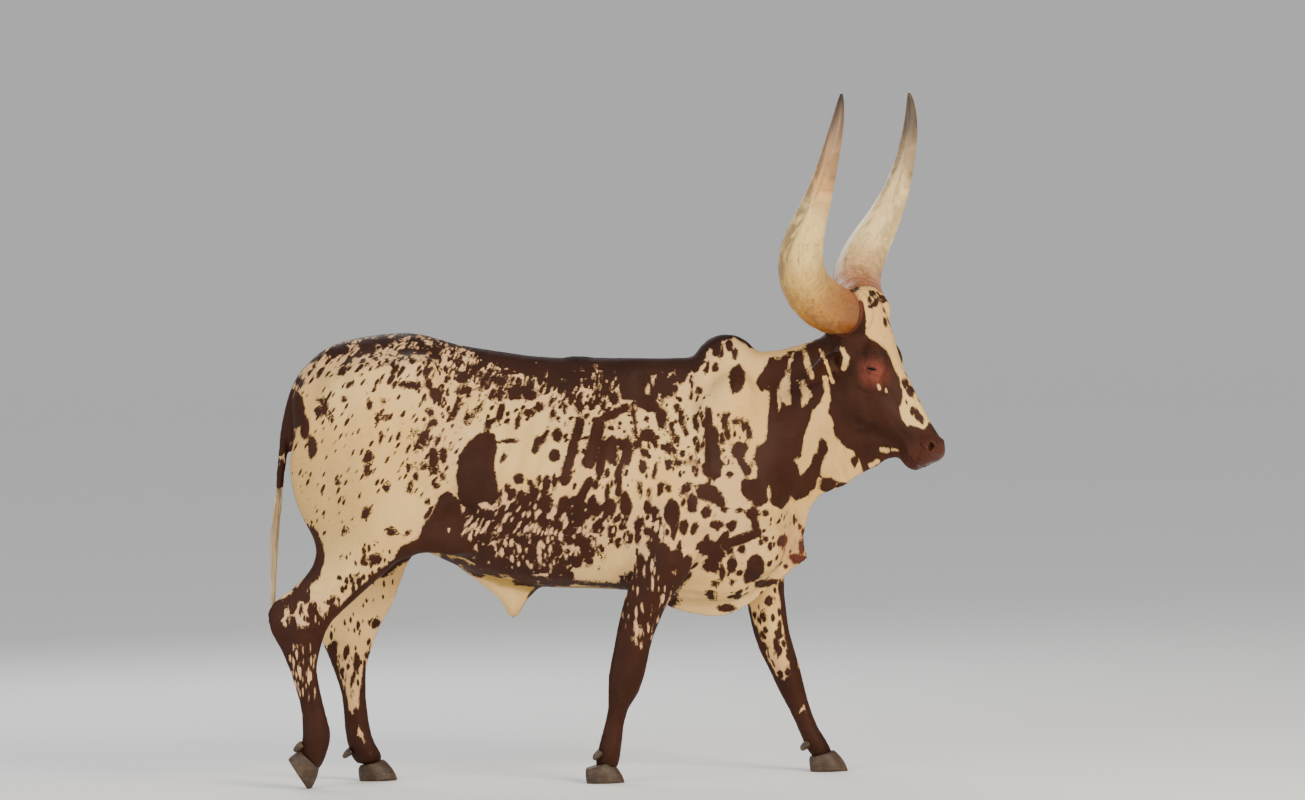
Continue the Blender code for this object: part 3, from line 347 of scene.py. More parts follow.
faceOutline = [
    (823, 388), (830, 400), (828, 412), (833, 424), (835, 436), (843, 445), (852, 450), (858, 458),
    (864, 476), (876, 480), (890, 474), (905, 482), (925, 482), (948, 470), (956, 445), (940, 430),
    (927, 423), (921, 430), (916, 428), (905, 425), (900, 420), (897, 410), (900, 395), (898, 378),
    (890, 365), (885, 352), (876, 344), (868, 340), (861, 330), (859, 312), (852, 300), (835, 320),
    (822, 330), (818, 350), (826, 372),
]
humpStrokes = [
    ([(684, 358), (697, 349), (707, 342), (718, 337), (730, 333)], 5.4), ([(738, 336), (752, 345)], 3.0),
    ([(795, 558), (803, 559), (809, 560)], 3.6),
]
markings = {
    "nearOutlines": [
        faceOutline,
        [(298, 390), (305, 398), (308, 415), (304, 425), (296, 428), (290, 422), (287, 408)],
        [(470, 344), (540, 354), (692, 354), (690, 361), (676, 366), (666, 374), (661, 388), (653, 408),
         (641, 400), (622, 398), (617, 384), (611, 366), (603, 370), (599, 396), (587, 385), (574, 390),
         (562, 396), (556, 379), (545, 384), (530, 372), (512, 370), (496, 362), (480, 358)],
        [(497, 434), (484, 431), (472, 440), (462, 454), (459, 478), (461, 497), (467, 513), (476, 504),
         (484, 500), (494, 504), (501, 497), (498, 478), (496, 462), (499, 446)],
        [(450, 491), (442, 495), (438, 504), (432, 516), (424, 526), (418, 538), (402, 546), (397, 556),
         (402, 570), (412, 566), (420, 556), (436, 551), (452, 553), (470, 556), (474, 540), (462, 534),
         (463, 522), (468, 516), (461, 500)],
        [(772, 357), (761, 374), (756, 384), (763, 391), (770, 384), (769, 402), (768, 420), (766, 440),
         (757, 446), (752, 458), (757, 466), (757, 478), (742, 480), (741, 490), (748, 500), (758, 505),
         (766, 500), (768, 492), (772, 504), (780, 508), (787, 500), (790, 493), (795, 499), (806, 495),
         (815, 485), (820, 470), (823, 454), (815, 460), (806, 470), (800, 476), (797, 464), (793, 460),
         (800, 455), (803, 440), (806, 425), (812, 410), (820, 400), (824, 386), (830, 372), (832, 350),
         (822, 338), (808, 344), (800, 352), (788, 352), (780, 360)],
    ],
    "farOutlines": [
        faceOutline,
        [(298, 398), (304, 400), (306, 408), (303, 416), (300, 418), (292, 414), (287, 404)],
        [(452, 452), (436, 447), (424, 458), (418, 476), (424, 496), (434, 508), (446, 500), (458, 492),
         (463, 474)],
        [(560, 470), (548, 462), (536, 474), (533, 496), (542, 514), (556, 520), (568, 506), (572, 486)],
        [(762, 372), (751, 392), (750, 415), (744, 440), (736, 462), (739, 486), (752, 498), (770, 500),
         (786, 488), (800, 480), (808, 462), (800, 440), (806, 418), (818, 402), (826, 380), (832, 350),
         (822, 338), (804, 346), (784, 360)],
    ],
    "nearOvals": [
        # rump and hip
        (292, 433, 4.5, 8), (301, 382, 4, 4), (308, 429, 4.5, 10, 5), (315, 447, 4, 9), (321, 411, 3, 4),
        (328, 408, 2, 5), (323, 400, 3, 2), (334, 419, 1.6, 2), (345, 371, 2.4, 6, 50), (344, 350, 7, 5),
        (370, 346, 7, 9, 35), (386, 341, 8, 3), (353, 384, 1.4, 3, 40), (346, 399, 1.8, 3, 40),
        (373, 405, 2.2, 3.4, 20), (386, 400, 2, 2.6), (389, 417, 2.4, 3.2, 30), (380, 418, 1.4, 3),
        (372, 456, 4, 4.5), (370, 469, 2.6, 5, 20), (389, 487, 2.4, 2.4), (341, 482, 1.8, 2),
        (369, 512, 3.4, 6, 20), (347, 529, 2, 2), (394, 530, 3.6, 2.6), (410, 532, 1.8, 4, 50),
        (378, 558, 5.4, 5), (344, 555, 2, 2.4), (366, 561, 2, 2.6), (358, 575, 2.4, 2), (342, 576, 2, 2),
        (332, 600, 2.4, 2), (384, 438, 1.4, 3, 20), (398, 370, 2, 5, 30), (409, 352, 6, 3.4),
        (425, 352, 6, 2.6), (437, 351, 5, 3), (414, 362, 3, 3), (430, 372, 2, 5, 40), (437, 357, 6, 2),
        (431, 384, 3.6, 5, -20), (438, 395, 5.4, 7, -30), (413, 385, 9, 2.6), (433, 412, 2.4, 2.6),
        (434, 424, 2.4, 5, 60), (427, 437, 3.4, 9, 20), (416, 434, 2.2, 5, 35), (441, 436, 1.8, 5, 45),
        (436, 456, 4, 9), (446, 455, 2, 6), (426, 465, 2.6, 4), (411, 466, 2.6, 3), (438, 470, 2.4, 3),
        (445, 475, 1.8, 3), (418, 476, 3, 3), (412, 486, 2.2, 4, 25), (437, 484, 1.6, 3),
        (430, 500, 2, 4, 30), (422, 447, 1.8, 4, 30), (465, 378, 5.4, 5), (466, 390, 8, 3.6),
        (476, 369, 2, 4, 30), (483, 376, 2.4, 4), (483, 387, 2.4, 4), (448, 380, 2, 4, 40),
        (457, 411, 2.6, 8, 15), (461, 400, 2.6, 2.4), (470, 417, 1.8, 4, 50), (484, 405, 1.8, 5, 30),
        (490, 424, 3.6, 4), (502, 413, 3.4, 9, 15), (519, 421, 2.4, 6, 15), (530, 413, 5, 3.4),
        (511, 440, 6, 1.8), (505, 457, 1.8, 4, 30), (509, 487, 3, 4), (521, 478, 5, 5),
        (523, 494, 3.4, 4), (531, 482, 2, 3), (536, 490, 3, 3.4), (499, 381, 8, 5), (496, 396, 6, 4),
        (516, 392, 7, 8), (508, 373, 6, 4), (528, 368, 7, 5), (532, 395, 6, 5), (541, 407, 4, 3),
        # barrel
        (554, 414, 3, 4), (566, 404, 2.4, 3), (580, 405, 3.6, 7), (607, 394, 4, 5), (634, 412, 3, 4),
        (635, 426, 2.6, 6), (545, 437, 1.8, 7, 25), (558, 435, 4.4, 5.4), (556, 455, 5.4, 6, 30),
        (604, 446, 3, 6, 10), (613, 452, 5.4, 11, 12), (622, 445, 2.2, 6, -15), (629, 452, 3.4, 13, 10),
        (619, 473, 2.8, 9, 5), (636, 443, 2.6, 5), (648, 435, 7, 6), (652, 407, 8, 5), (643, 404, 6, 3.6),
        (640, 442, 3.6, 5), (655, 442, 3, 5, -20), (645, 452, 4, 4), (644, 466, 3.6, 6),
        (655, 470, 2.4, 7, 12), (662, 417, 4.6, 10, 5), (677, 408, 2.4, 4), (681, 416, 2.4, 7, -5),
        (672, 430, 2, 6, -12), (677, 441, 2.6, 4), (668, 447, 2.4, 4), (675, 452, 1.8, 6, -15),
        (669, 463, 2.8, 4.6), (678, 463, 3.6, 3.6), (690, 457, 1.8, 3), (664, 400, 2, 3),
        (696, 423, 2.4, 7, -12), (686, 432, 1.8, 4), (698, 446, 2.4, 7, 5), (697, 466, 2, 5),
        (541, 479, 1.8, 3), (533, 488, 2.6, 4, 20), (548, 481, 2.8, 6), (556, 481, 1.8, 5),
        (546, 492, 2, 4), (597, 484, 2.8, 4, 12), (608, 489, 2.2, 6, 10), (618, 492, 2.4, 4),
        (640, 488, 2.4, 7, -5), (650, 492, 2, 5), (661, 487, 2.4, 6, 12), (669, 487, 1.8, 4),
        (683, 488, 2.6, 6, 22), (648, 506, 4, 7), (547, 502, 7, 8, 15), (565, 501, 4.6, 8, 20),
        (583, 510, 8, 10), (597, 507, 4.4, 7), (612, 506, 5.6, 8), (626, 503, 6.4, 11),
        (672, 511, 7.4, 13), (674, 527, 3, 9), (692, 502, 5.6, 9), (688, 487, 2.4, 5, 20),
        (638, 536, 2.6, 6), (647, 530, 3, 4), (650, 543, 4, 3.6), (661, 550, 10, 8), (679, 545, 2.6, 6),
        (687, 560, 4.6, 6), (604, 557, 3, 3), (600, 566, 2, 2), (682, 380, 3.4, 3.4), (675, 389, 3, 2),
        (691, 396, 1.8, 4), (699, 390, 3, 3.4), (692, 383, 1.6, 3), (703, 362, 2, 2),
        # shoulder, neck and chest
        (709, 417, 3.6, 7), (724, 420, 2.6, 6), (735, 421, 3, 2.4), (743, 426, 1.8, 5, -20),
        (748, 431, 2.4, 7, -12), (728, 434, 1.8, 4), (735, 354, 2.8, 4.6), (737, 379, 7.4, 13.6, 5),
        (715, 367, 2.6, 4), (711, 437, 7.4, 11), (712, 452, 8.4, 11), (708, 426, 4, 5), (707, 468, 5, 8),
        (715, 470, 6, 8), (719, 463, 4, 4), (738, 451, 7, 9, 5), (743, 465, 3.4, 8, -15),
        (730, 474, 4, 3.4), (745, 446, 2.6, 4), (709, 492, 12, 8), (701, 489, 5, 6), (718, 500, 8, 5),
        (706, 511, 5, 5), (716, 523, 6, 4), (724, 508, 3, 3), (739, 509, 3, 1.8), (752, 512, 5.4, 6),
        (755, 524, 3.4, 8), (765, 512, 2.8, 2.6), (765, 538, 2.2, 2.6), (745, 484, 4, 6),
        (708, 546, 12, 7.4), (716, 553, 8, 7), (711, 564, 7.6, 7), (722, 572, 2.6, 6), (732, 564, 5, 7),
        (730, 551, 2.8, 2.8), (755, 566, 8.4, 12), (747, 575, 4, 6), (713, 582, 3, 2),
        (731, 581, 2.4, 2.4), (782, 540, 4.6, 5), (802, 545, 3, 6), (796, 557, 5, 3), (822, 448, 4.4, 8),
        (827, 484, 8, 6.4), (842, 486, 5, 4), (816, 458, 4, 5, 30), (711, 594, 2.8, 5, -20),
        (727, 607, 7, 3), (738, 596, 3.2, 2.6), (764, 619, 4, 2.4), (780, 628, 2, 4), (777, 647, 2, 5),
        (765, 649, 4, 3, 30), (770, 630, 2.6, 2), (854, 461, 3.4, 5.4), (662, 610, 3, 4),
        # blaze and poll
        (908, 391, 2.4, 5, -25), (904, 384, 1.4, 4, -25), (915, 414, 2.2, 5, -20), (911, 410, 2, 3),
        (919, 419, 2, 4, -20), (871, 306, 4.4, 2, -20), (868, 301, 2, 3.6), (875, 302, 1.8, 3),
        (870, 294, 1.8, 4, -20), (853, 290, 4, 2, -30), (884, 309, 1.8, 4), (884, 322, 1.4, 4),
    ],
    "farOvals": [
        (309, 430, 4.5, 10, 5), (320, 452, 4, 8), (340, 430, 6, 9), (352, 466, 4, 7),
        (392, 420, 5, 8, 15), (380, 480, 7, 9), (410, 400, 6, 9), (486, 420, 7, 12), (505, 462, 6, 9),
        (600, 430, 8, 18, 5), (628, 462, 7, 15), (655, 500, 9, 14), (676, 440, 7, 12), (702, 470, 11, 16),
        (720, 520, 12, 11), (728, 380, 7, 12), (744, 420, 5, 9), (690, 540, 15, 13), (640, 548, 14, 12),
        (802, 545, 3, 6), (822, 447, 4.4, 8.5), (827, 484, 9, 7), (909, 391, 3, 5, -20),
        (914, 413, 4, 5, -20), (876, 303, 6, 7, -20), (373, 626, 5.4, 5), (334, 647, 2.4, 4),
        (345, 655, 2.6, 7, 20), (366, 658, 3, 3), (764, 619, 4, 3), (780, 628, 2, 4), (777, 647, 2, 5),
        (765, 649, 4, 3, 30), (773, 602, 2.4, 3), (560, 404, 8, 9),
    ],
    "nearStrokes": [
        # a dark band down the near hind leg's front edge: a marking with painted shadow of the thigh's fold in
        # it
        ([(412, 556), (398, 563), (383, 574), (364, 590), (346, 608), (335, 622), (328, 642)], 5.2),
        ([(312, 530), (321, 545), (322, 556), (317, 572), (306, 588), (292, 600), (280, 608)], 5.4),
        ([(280, 604), (275, 620), (284, 634), (300, 634), (318, 632)], 7.0),
        ([(581, 422), (573, 450), (566, 480)], 4.4), ([(599, 424), (595, 445), (590, 462)], 6.2),
        ([(612, 440), (603, 455), (601, 470)], 4.2), ([(590, 480), (583, 495), (577, 516)], 4.2),
        ([(628, 438), (622, 462), (619, 490)], 2.8), ([(540, 438), (536, 450)], 2.4),
        ([(728, 541), (745, 537), (757, 531)], 4.2), ([(758, 583), (775, 583), (790, 582)], 3.0),
        *humpStrokes,
        ([(634, 700), (640, 690), (646, 670)], 6.0), ([(606, 417), (616, 414), (626, 407)], 3.6),
        ([(686, 574), (680, 584)], 3.2), ([(676, 376), (668, 384), (664, 396)], 2.6),
        ([(660, 562), (676, 578), (688, 556)], 3.0),
        # a thin dark line along the belly's lower edge, partly painted shade where the body turns under
        ([(455, 548), (480, 562), (510, 573), (545, 579), (590, 583), (622, 585)], 1.7),
        ([(527, 604), (531, 596), (538, 588)], 1.6), ([(859, 304), (861, 318), (861, 332)], 2.8),
    ],
    "farStrokes": [
        # the top of the same band on the far side, marking and painted shadow
        ([(412, 556), (398, 563), (383, 574)], 4.0),
        ([(330, 652), (334, 680), (342, 700), (344, 730), (352, 765)], 4.2),
        ([(366, 676), (363, 700), (364, 725), (370, 750)], 4.4),
        ([(783, 588), (786, 620), (791, 650), (797, 684), (806, 705)], 3.6),
        ([(746, 608), (757, 640), (766, 665), (778, 690), (790, 712), (800, 735)], 3.0),
        *humpStrokes,
    ],
    "creamStrokes": [
        ([(658, 372), (653, 383), (647, 392)], 1.7), ([(565, 380), (568, 374)], 1.6),
        ([(580, 372), (583, 366)], 1.2), ([(594, 376), (597, 366)], 1.3), ([(548, 376), (552, 371)], 1.2),
        ([(571, 386), (575, 381)], 1.4), ([(634, 376), (637, 370)], 1.1), ([(536, 366), (540, 362)], 1.0),
        ([(586, 448), (584, 440)], 1.6), ([(464, 500), (466, 512), (470, 518)], 1.4),
        ([(484, 512), (489, 504), (494, 510), (491, 524), (486, 538)], 1.6),
        ([(474, 514), (480, 508)], 1.6), ([(452, 530), (462, 533), (470, 530)], 1.6),
        ([(560, 538), (564, 526)], 2.2), ([(567, 552), (562, 544)], 2.0), ([(592, 548), (600, 540)], 2.4),
        ([(584, 556), (590, 552)], 1.8), ([(545, 548), (550, 540)], 1.6), ([(530, 552), (536, 544)], 1.4),
        ([(512, 540), (518, 552)], 1.8), ([(520, 524), (526, 518)], 1.4), ([(498, 530), (502, 522)], 1.3),
        ([(505, 512), (500, 522)], 1.3), ([(540, 524), (546, 512), (552, 502)], 1.7),
        ([(570, 512), (577, 496)], 1.7), ([(590, 516), (587, 504), (592, 494)], 1.8),
        ([(604, 520), (603, 508)], 1.6), ([(486, 560), (500, 556)], 1.4), ([(515, 562), (530, 566)], 1.4),
        ([(552, 566), (570, 570)], 1.6), ([(804, 344), (806, 360), (810, 377)], 1.9),
        ([(793, 353), (789, 366), (785, 380)], 1.5), ([(785, 380), (784, 392), (788, 401)], 3.4),
        ([(779, 386), (779, 411)], 1.0), ([(801, 384), (806, 394), (804, 402)], 3.0),
        ([(819, 350), (826, 366), (832, 382)], 1.4), ([(824, 378), (826, 395), (824, 410)], 2.6),
        ([(768, 486), (768, 498)], 1.2), ([(841, 349), (845, 358), (842, 368)], 2.4),
        ([(876, 385), (878, 389)], 1.0), ([(884, 389), (885, 392)], 0.6), ([(881, 449), (886, 450)], 2.4),
        ([(891, 449), (896, 450)], 1.4), ([(870, 465), (877, 461)], 2.2),
        ([(316, 584), (311, 592), (309, 604)], 3.0), ([(290, 604), (285, 615)], 2.4),
    ],
    # soft areas: middle, half width, half height, lean and how much of the coat is brown there
    "blotches": [
        (400, 350, 84, 22, 0, 0.55), (450, 380, 42, 30, 0, 0.20), (444, 440, 26, 50, 15, 0.10),
        (516, 382, 46, 26, 0, 0.58), (600, 440, 70, 70, 0, 0.08), (600, 400, 70, 20, 0, 0.40),
        (520, 532, 116, 48, 0, 0.97), (590, 516, 40, 30, 0, 0.70), (470, 545, 34, 20, 0, 0.70),
        # the long brown areas low on the belly, round (510, 566) and (545, 580), are the coat's brown with
        # painted shade of the underside added
        (510, 566, 90, 16, 0, 0.90), (545, 580, 44, 10, 0, 0.90), (450, 563, 18, 11, 0, 1.0),
        (646, 528, 40, 34, 0, 0.40), (674, 564, 24, 22, 0, 0.90), (720, 540, 60, 40, 0, 0.24),
        (644, 592, 32, 48, 0, 1.15), (720, 490, 50, 60, 0, 0.16), (302, 610, 34, 30, 0, 0.50),
        (785, 380, 30, 30, 0, 0.30),
    ],
    "dots": [
        (345, 430, 80, 120, 0, 0.06), (400, 360, 110, 34, 0, 0.30), (430, 430, 46, 80, 10, 0.14),
        (368, 572, 44, 40, 0, 0.24), (316, 552, 20, 50, 0, 0.22), (520, 400, 70, 40, 0, 0.16),
        (690, 440, 60, 60, 0, 0.14), (600, 440, 80, 70, 0, 0.10), (740, 590, 50, 30, 0, 0.14),
        (770, 640, 46, 60, 0, 0.24), (350, 650, 40, 60, 0, 0.24), (780, 540, 40, 40, 0, 0.10),
        (905, 370, 24, 60, -20, 0.08), (640, 540, 40, 40, 0, 0.20), (296, 372, 30, 30, 0, 0.20),
    ],
    # cream flecks where the coat is mostly brown
    "creamDots": [
        (540, 534, 104, 46, 0, 0.10), (648, 600, 34, 58, 0, 0.10), (304, 600, 30, 34, 0, 0.30),
        (304, 672, 20, 44, 0, 0.12), (400, 352, 100, 26, 0, 0.16), (560, 374, 150, 15, 0, 0.09),
        (500, 372, 60, 20, 0, 0.16),
    ],
    # places with next to no soft spots
    "clear": [
        (619, 562, 28, 24, 0, 0.9), (532, 450, 44, 36, 0, 1.0), (712, 592, 30, 24, 0, 0.8),
        (338, 552, 26, 34, 0, 0.8), (606, 490, 40, 14, 0, 0.6),
    ],
    "backLine": [(300, 372), (318, 357), (335, 345), (360, 339), (390, 333), (420, 337), (450, 343),
                 (490, 350), (530, 357), (560, 358), (590, 356), (640, 358), (690, 356), (712, 340), (728, 334)],
    "bellyEdge": [(446, 552), (470, 567), (500, 580), (530, 587), (570, 590), (620, 591)],
    "grow": 0.8,                         # how far every patch reaches past its drawn line
    "spread": 0.2387,    # 3 / 4 pi: turns a share of space into the size of the spots that fill it
    # how strong and how deep the brown of the back is from rump to neck
    "backStrength": ([300, 340, 380, 450, 520, 600, 690, 720, 750],
                     [0.5, 0.95, 0.95, 0.95, 1.1, 1.25, 1.25, 1.1, 0.2]),
    "backDepth": ([300, 400, 500, 600, 690, 740], [24, 34, 44, 56, 36, 14]),
    # legs: side, hind and fore end by height, top in metres, and how brown at which heights
    "legs": [
        ("near", ([0.50, 0.58], [-0.06, 0.075]), ([0.50, 0.54, 0.66], [0.34, 0.25, 0.285]), 0.66,
         ([0.36, 0.44, 0.56, 0.64], [1.25, 1.2, 1.1, 0.9])),
        ("near", ([0], [-2]), ([0], [-0.70]), 0.62,
         ([0.20, 0.24, 0.45, 0.50, 0.56, 0.62], [1.25, 1.15, 1.15, 1.0, 0.55, 0.2])),
        ("far", ([0], [-2]), ([0], [-0.60]), 0.42, ([0.05, 0.09, 0.20, 0.30], [1.25, 1.0, 0.50, 0.30])),
        ("far", ([0], [0.42]), ([0], [2]), 0.42, ([0.10, 0.16, 0.26, 0.36], [1.25, 1.0, 0.72, 0.20])),
    ],
    "tail": ([0.93, 1.02, 1.2], [0.30, 0.75, 1.1]),
}


def spotReach(coverage):
    # how far a mottled area's spots reach out from their middles, so that this share of it is brown
    share = clamp01(coverage)
    reach = (-np.log1p(-np.minimum(share, 0.995)) * markings["spread"]) ** (1 / 3)
    return np.where(share >= 1, 2.0, reach - 0.4 * clamp01(1 - share / 0.03))


def markingsAt(points):
    x, y = onDrawing(points)
    ahead, left, z = (points - shift).T
    near = left < 0
    headSide = inHead(points) > 0
    # the left of the face isn't an exact mirror of the right
    skew = ease(((points - headPoll) @ headLeft - 0.004) / 0.024) * headSide
    x, y = x + skew * 3.2 * np.sin(y * 0.19 + 0.6), y + skew * 5.0 * np.sin(x * 0.13 + 1.0)

    def strongest(side):
        reach = np.full(len(x), -40.0)
        for kind, reachOf in (("Outlines", lambda mark: outlineReach(x, y, mark)),
                              ("Ovals", lambda mark: ovalReach(x, y, mark)),
                              ("Strokes", lambda mark: strokeReach(x, y, *mark))):
            for mark in markings[side + kind]:
                reach = np.maximum(reach, reachOf(mark))
        return reach + markings["grow"]

    patch = np.where(near | headSide, strongest("near"), strongest("far"))
    for stroke in markings["creamStrokes"]:
        patch = np.where(near | headSide, np.minimum(patch, -strokeReach(x, y, *stroke)), patch)

    def soft(key):
        total = np.zeros(len(x))
        for *oval, amount in markings[key]:
            total = np.maximum(total, amount * ease(ovalReach(x, y, oval) / min(oval[2:4]) * 1.9))
        return total

    clear = soft("clear")
    blotch, dots = soft("blotches") * (1 - clear), soft("dots") * (1 - clear)

    below = y - np.interp(x, *np.array(markings["backLine"], float).T)
    onTrunk = ease((x - 285) / 30) * ease((752 - x) / 30) * ~headSide
    strength, depth = (np.interp(x, *markings[key]) for key in ("backStrength", "backDepth"))
    spine = clamp01(1 - np.abs(left) / 0.035) * (z > 1.2) * onTrunk
    for brown in (onTrunk * strength * clamp01(1.12 - below / depth), spine * 1.1):
        blotch = np.maximum(blotch, brown)

    farThigh = ~near & (ahead < -0.60) & (z < 0.85)
    blotch, dots = np.where(farThigh, 0.0, blotch), np.where(farThigh, dots * 0.35, dots)
    for side, hind, fore, top, brown in markings["legs"]:
        there = (near == (side == "near")) & (z < top)
        there &= (ahead > np.interp(z, *hind)) & (ahead < np.interp(z, *fore))
        blotch = np.where(there, np.maximum(blotch, np.interp(z, *brown)), blotch)
    onTail = (ahead < -0.955) & (z > 0.90) & (np.abs(left) < 0.05)
    blotch = np.where(onTail, np.maximum(blotch, np.interp(z, *markings["tail"])), blotch)
    mostlyBrown = ease((blotch - 0.45) / 0.3)
    dots = dots * (1 - mostlyBrown) + soft("creamDots") * mostlyBrown
    marks = np.stack([patch * drawing["step"], spotReach(blotch), spotReach(dots)], axis=1)

    # bare reddish skin round the eye, on muzzle and brisket and round the horns' feet
    u, v, w = headPlace(points)
    eyeU, eyeV, _ = head["eye"]
    red = np.exp(-(np.hypot((u - eyeU - 0.010) / 0.050, (v - eyeV - 0.004) / 0.046) / 0.85) ** 2)
    red = clamp01(red * 1.75 - 0.14) * ease((np.abs(w) - 0.03) / 0.03)
    red = np.maximum(red, ease((u - 0.475) / 0.06) * 0.20)
    for side in (1, -1):
        away, axis = points - hornLine(side)[1], hornAxis(side)
        along = away @ axis
        out = np.linalg.norm(away - along[:, None] * axis, axis=1)
        red = np.maximum(red, ease((along + 0.016) / 0.012) * ease((0.084 - out) / 0.005) * 0.75)

    def around(cx, cy, wide, high):
        return ease(1.5 - np.hypot((x - cx) / wide, (y - cy) / high))

    red = np.where(headSide, red, around(798, 545, 18, 26) * 0.55)
    # straw: a darker yellow over the cream, along the belly's edge and a little on the neck; round the lower
    # rump it is painted shade
    straw = ease(strokeReach(x, y, markings["bellyEdge"], 7) / 4) + around(330, 500, 46, 60) * 0.5
    straw += around(800, 460, 70, 80) * 0.14
    dark = ease((0.08 - z) / 0.05) * 0.4 + spine * 0.8
    dark = np.maximum(dark, onTrunk * clamp01(1.1 - below / depth) * 0.5)
    return marks, np.stack([red, clamp01(straw), clamp01(dark)], axis=1)


def fitMarks(points, corners, marks):
    # a small spot lies between the skin's points, so these are moved until the middles of the faces are right
    right = markingsAt(points[corners].mean(axis=1))[0][:, 0]
    lack = right - marks[corners, 0].mean(axis=1)
    lack = np.where(right * lack > 0, lack, 0.0)
    raised, lowered = np.zeros(len(points)), np.zeros(len(points))
    np.maximum.at(raised, corners.ravel(), np.repeat(lack, 3))
    np.minimum.at(lowered, corners.ravel(), np.repeat(lack, 3))
    marks[:, 0] += raised + lowered
    return marks


def streakPlaceOf(points):
    place = points - shift
    x, y, z = place.T
    lean = np.interp(x, [-1.0, -0.5, 0.0, 0.4, 0.62, 0.9], [-0.45, -0.55, -0.20, -0.05, 0.15, 0.25])
    return np.stack([x + lean * np.maximum(z - 1.25, -0.45), y, z * 0.46], axis=1)


# Skin: one closed hide over torso, neck, head, ears, tail and legs

skinSettings = {
    "nodes": ["torso", "neck", "leg_fore_left", "leg_fore_right", "leg_hind_left", "leg_hind_right", "tail"],
    "headNodes": ["head", "ear_left", "ear_right"],
    "overlap": 0.0009,
    "wideVoxel": 0.0075,
    "fineVoxel": 0.0042,
    "coatDepth": 0.0024,
    "triangles": 188000,
}


def bareness(points):
    # 1 where the skin has no coat: round the eyes, on the muzzle and round the nostrils
    u, v, w = headPlace(points)
    muzzle = ease((u - 0.6 * np.clip(v - 0.03, 0, 0.1) - 0.530) / 0.016) * (inHead(points) > 0)
    eye = np.minimum(*[farFrom(points, place) for place in bothSides(*head["eye"])])
    nostril = np.minimum(*[farFrom(points, place) for place in bothSides(*faceSettings["nostril"])])
    return np.maximum(np.maximum(ease((0.042 - eye) / 0.014), muzzle), ease((0.026 - nostril) / 0.010))


def keepLargest(thing):
    points = pointsOf(thing.data)
    start = int(np.argmax(points[:, 2] * (np.abs(points[:, 0]) < 0.3)))
    editPoints(thing, np.arange(len(points)) == start)
    bpy.ops.mesh.select_linked()
    bpy.ops.mesh.select_all(action="INVERT")
    bpy.ops.mesh.delete(type="VERT")
    bpy.ops.object.mode_set(mode="OBJECT")


faceSettings = {
    "filling": 0.0226,                   # a ball that fills the socket, before the lids are shaped over it
    "eyeReach": 0.037, "eyeCuts": 4,
    "lid": 0.0250, "floor": 0.0184, "opening": (0.0172, 0.0064, 0.0047),
    # folds round the eye: height over its middle, half length, depth and width
    "folds": [(0.0098, 0.024, -0.0020, 0.0016), (0.0160, 0.026, -0.0017, 0.0020),
              (0.0235, 0.024, -0.0014, 0.0024), (-0.0086, 0.023, -0.0018, 0.0015),
              (-0.0138, 0.025, -0.0021, 0.0018), (-0.0200, 0.026, -0.0022, 0.0022),
              (-0.0270, 0.022, -0.0018, 0.0024)],
    "mouth": [(0.486, 0.124, 0.056), (0.492, 0.118, 0.058), (0.518, 0.100, 0.058), (0.543, 0.084, 0.052),
              (0.566, 0.070, 0.036), (0.581, 0.064, 0.014), (0.582, 0.0635, 0.0)],
    "mouthReach": 0.030, "mouthCuts": 2, "mouthWide": 0.0042, "mouthDeep": 0.0036,
    "nostrilTail": [(0.528, 0.014, 0.062), (0.519, 0.026, 0.066), (0.520, 0.040, 0.064)],
    "nostrilWide": 0.0065, "nostrilDeep": 0.0040,
    "nostril": (0.535, 0.008, 0.056), "nostrilReach": 0.032, "nostrilCuts": 2,
    # hide round a horn's foot: radii, and how far it goes in and out
    "sleeve": (0.0715, 0.0780, 0.014, 0.004),
}


def faceFillings():
    made = []
    for side, eye in zip((1, -1), bothSides(*head["eye"])):
        bpy.ops.object.select_all(action="DESELECT")
        bpy.ops.mesh.primitive_uv_sphere_add(segments=32, ring_count=20, radius=faceSettings["filling"],
                                             location=eye)
        made.append(bpy.context.active_object)
        line, axis = hornLine(side), hornAxis(side)
        inner, outer, inward, outward = faceSettings["sleeve"]
        start, end = line[0] - axis * inward, line[1] + axis * outward
        turn = Vector(axis).to_track_quat("Z", "Y").to_euler()
        long = np.linalg.norm(end - start)
        bpy.ops.mesh.primitive_cone_add(vertices=64, radius1=inner, radius2=outer, depth=long,
                                        location=(start + end) / 2, rotation=turn)
        made.append(bpy.context.active_object)
    return made


def refineNear(thing, places, reach, cuts):
    points = pointsOf(thing.data)
    editPoints(thing, np.min([farFrom(points, place) for place in places], axis=0) < reach)
    bpy.ops.mesh.subdivide(number_cuts=cuts)
    bpy.ops.object.mode_set(mode="OBJECT")


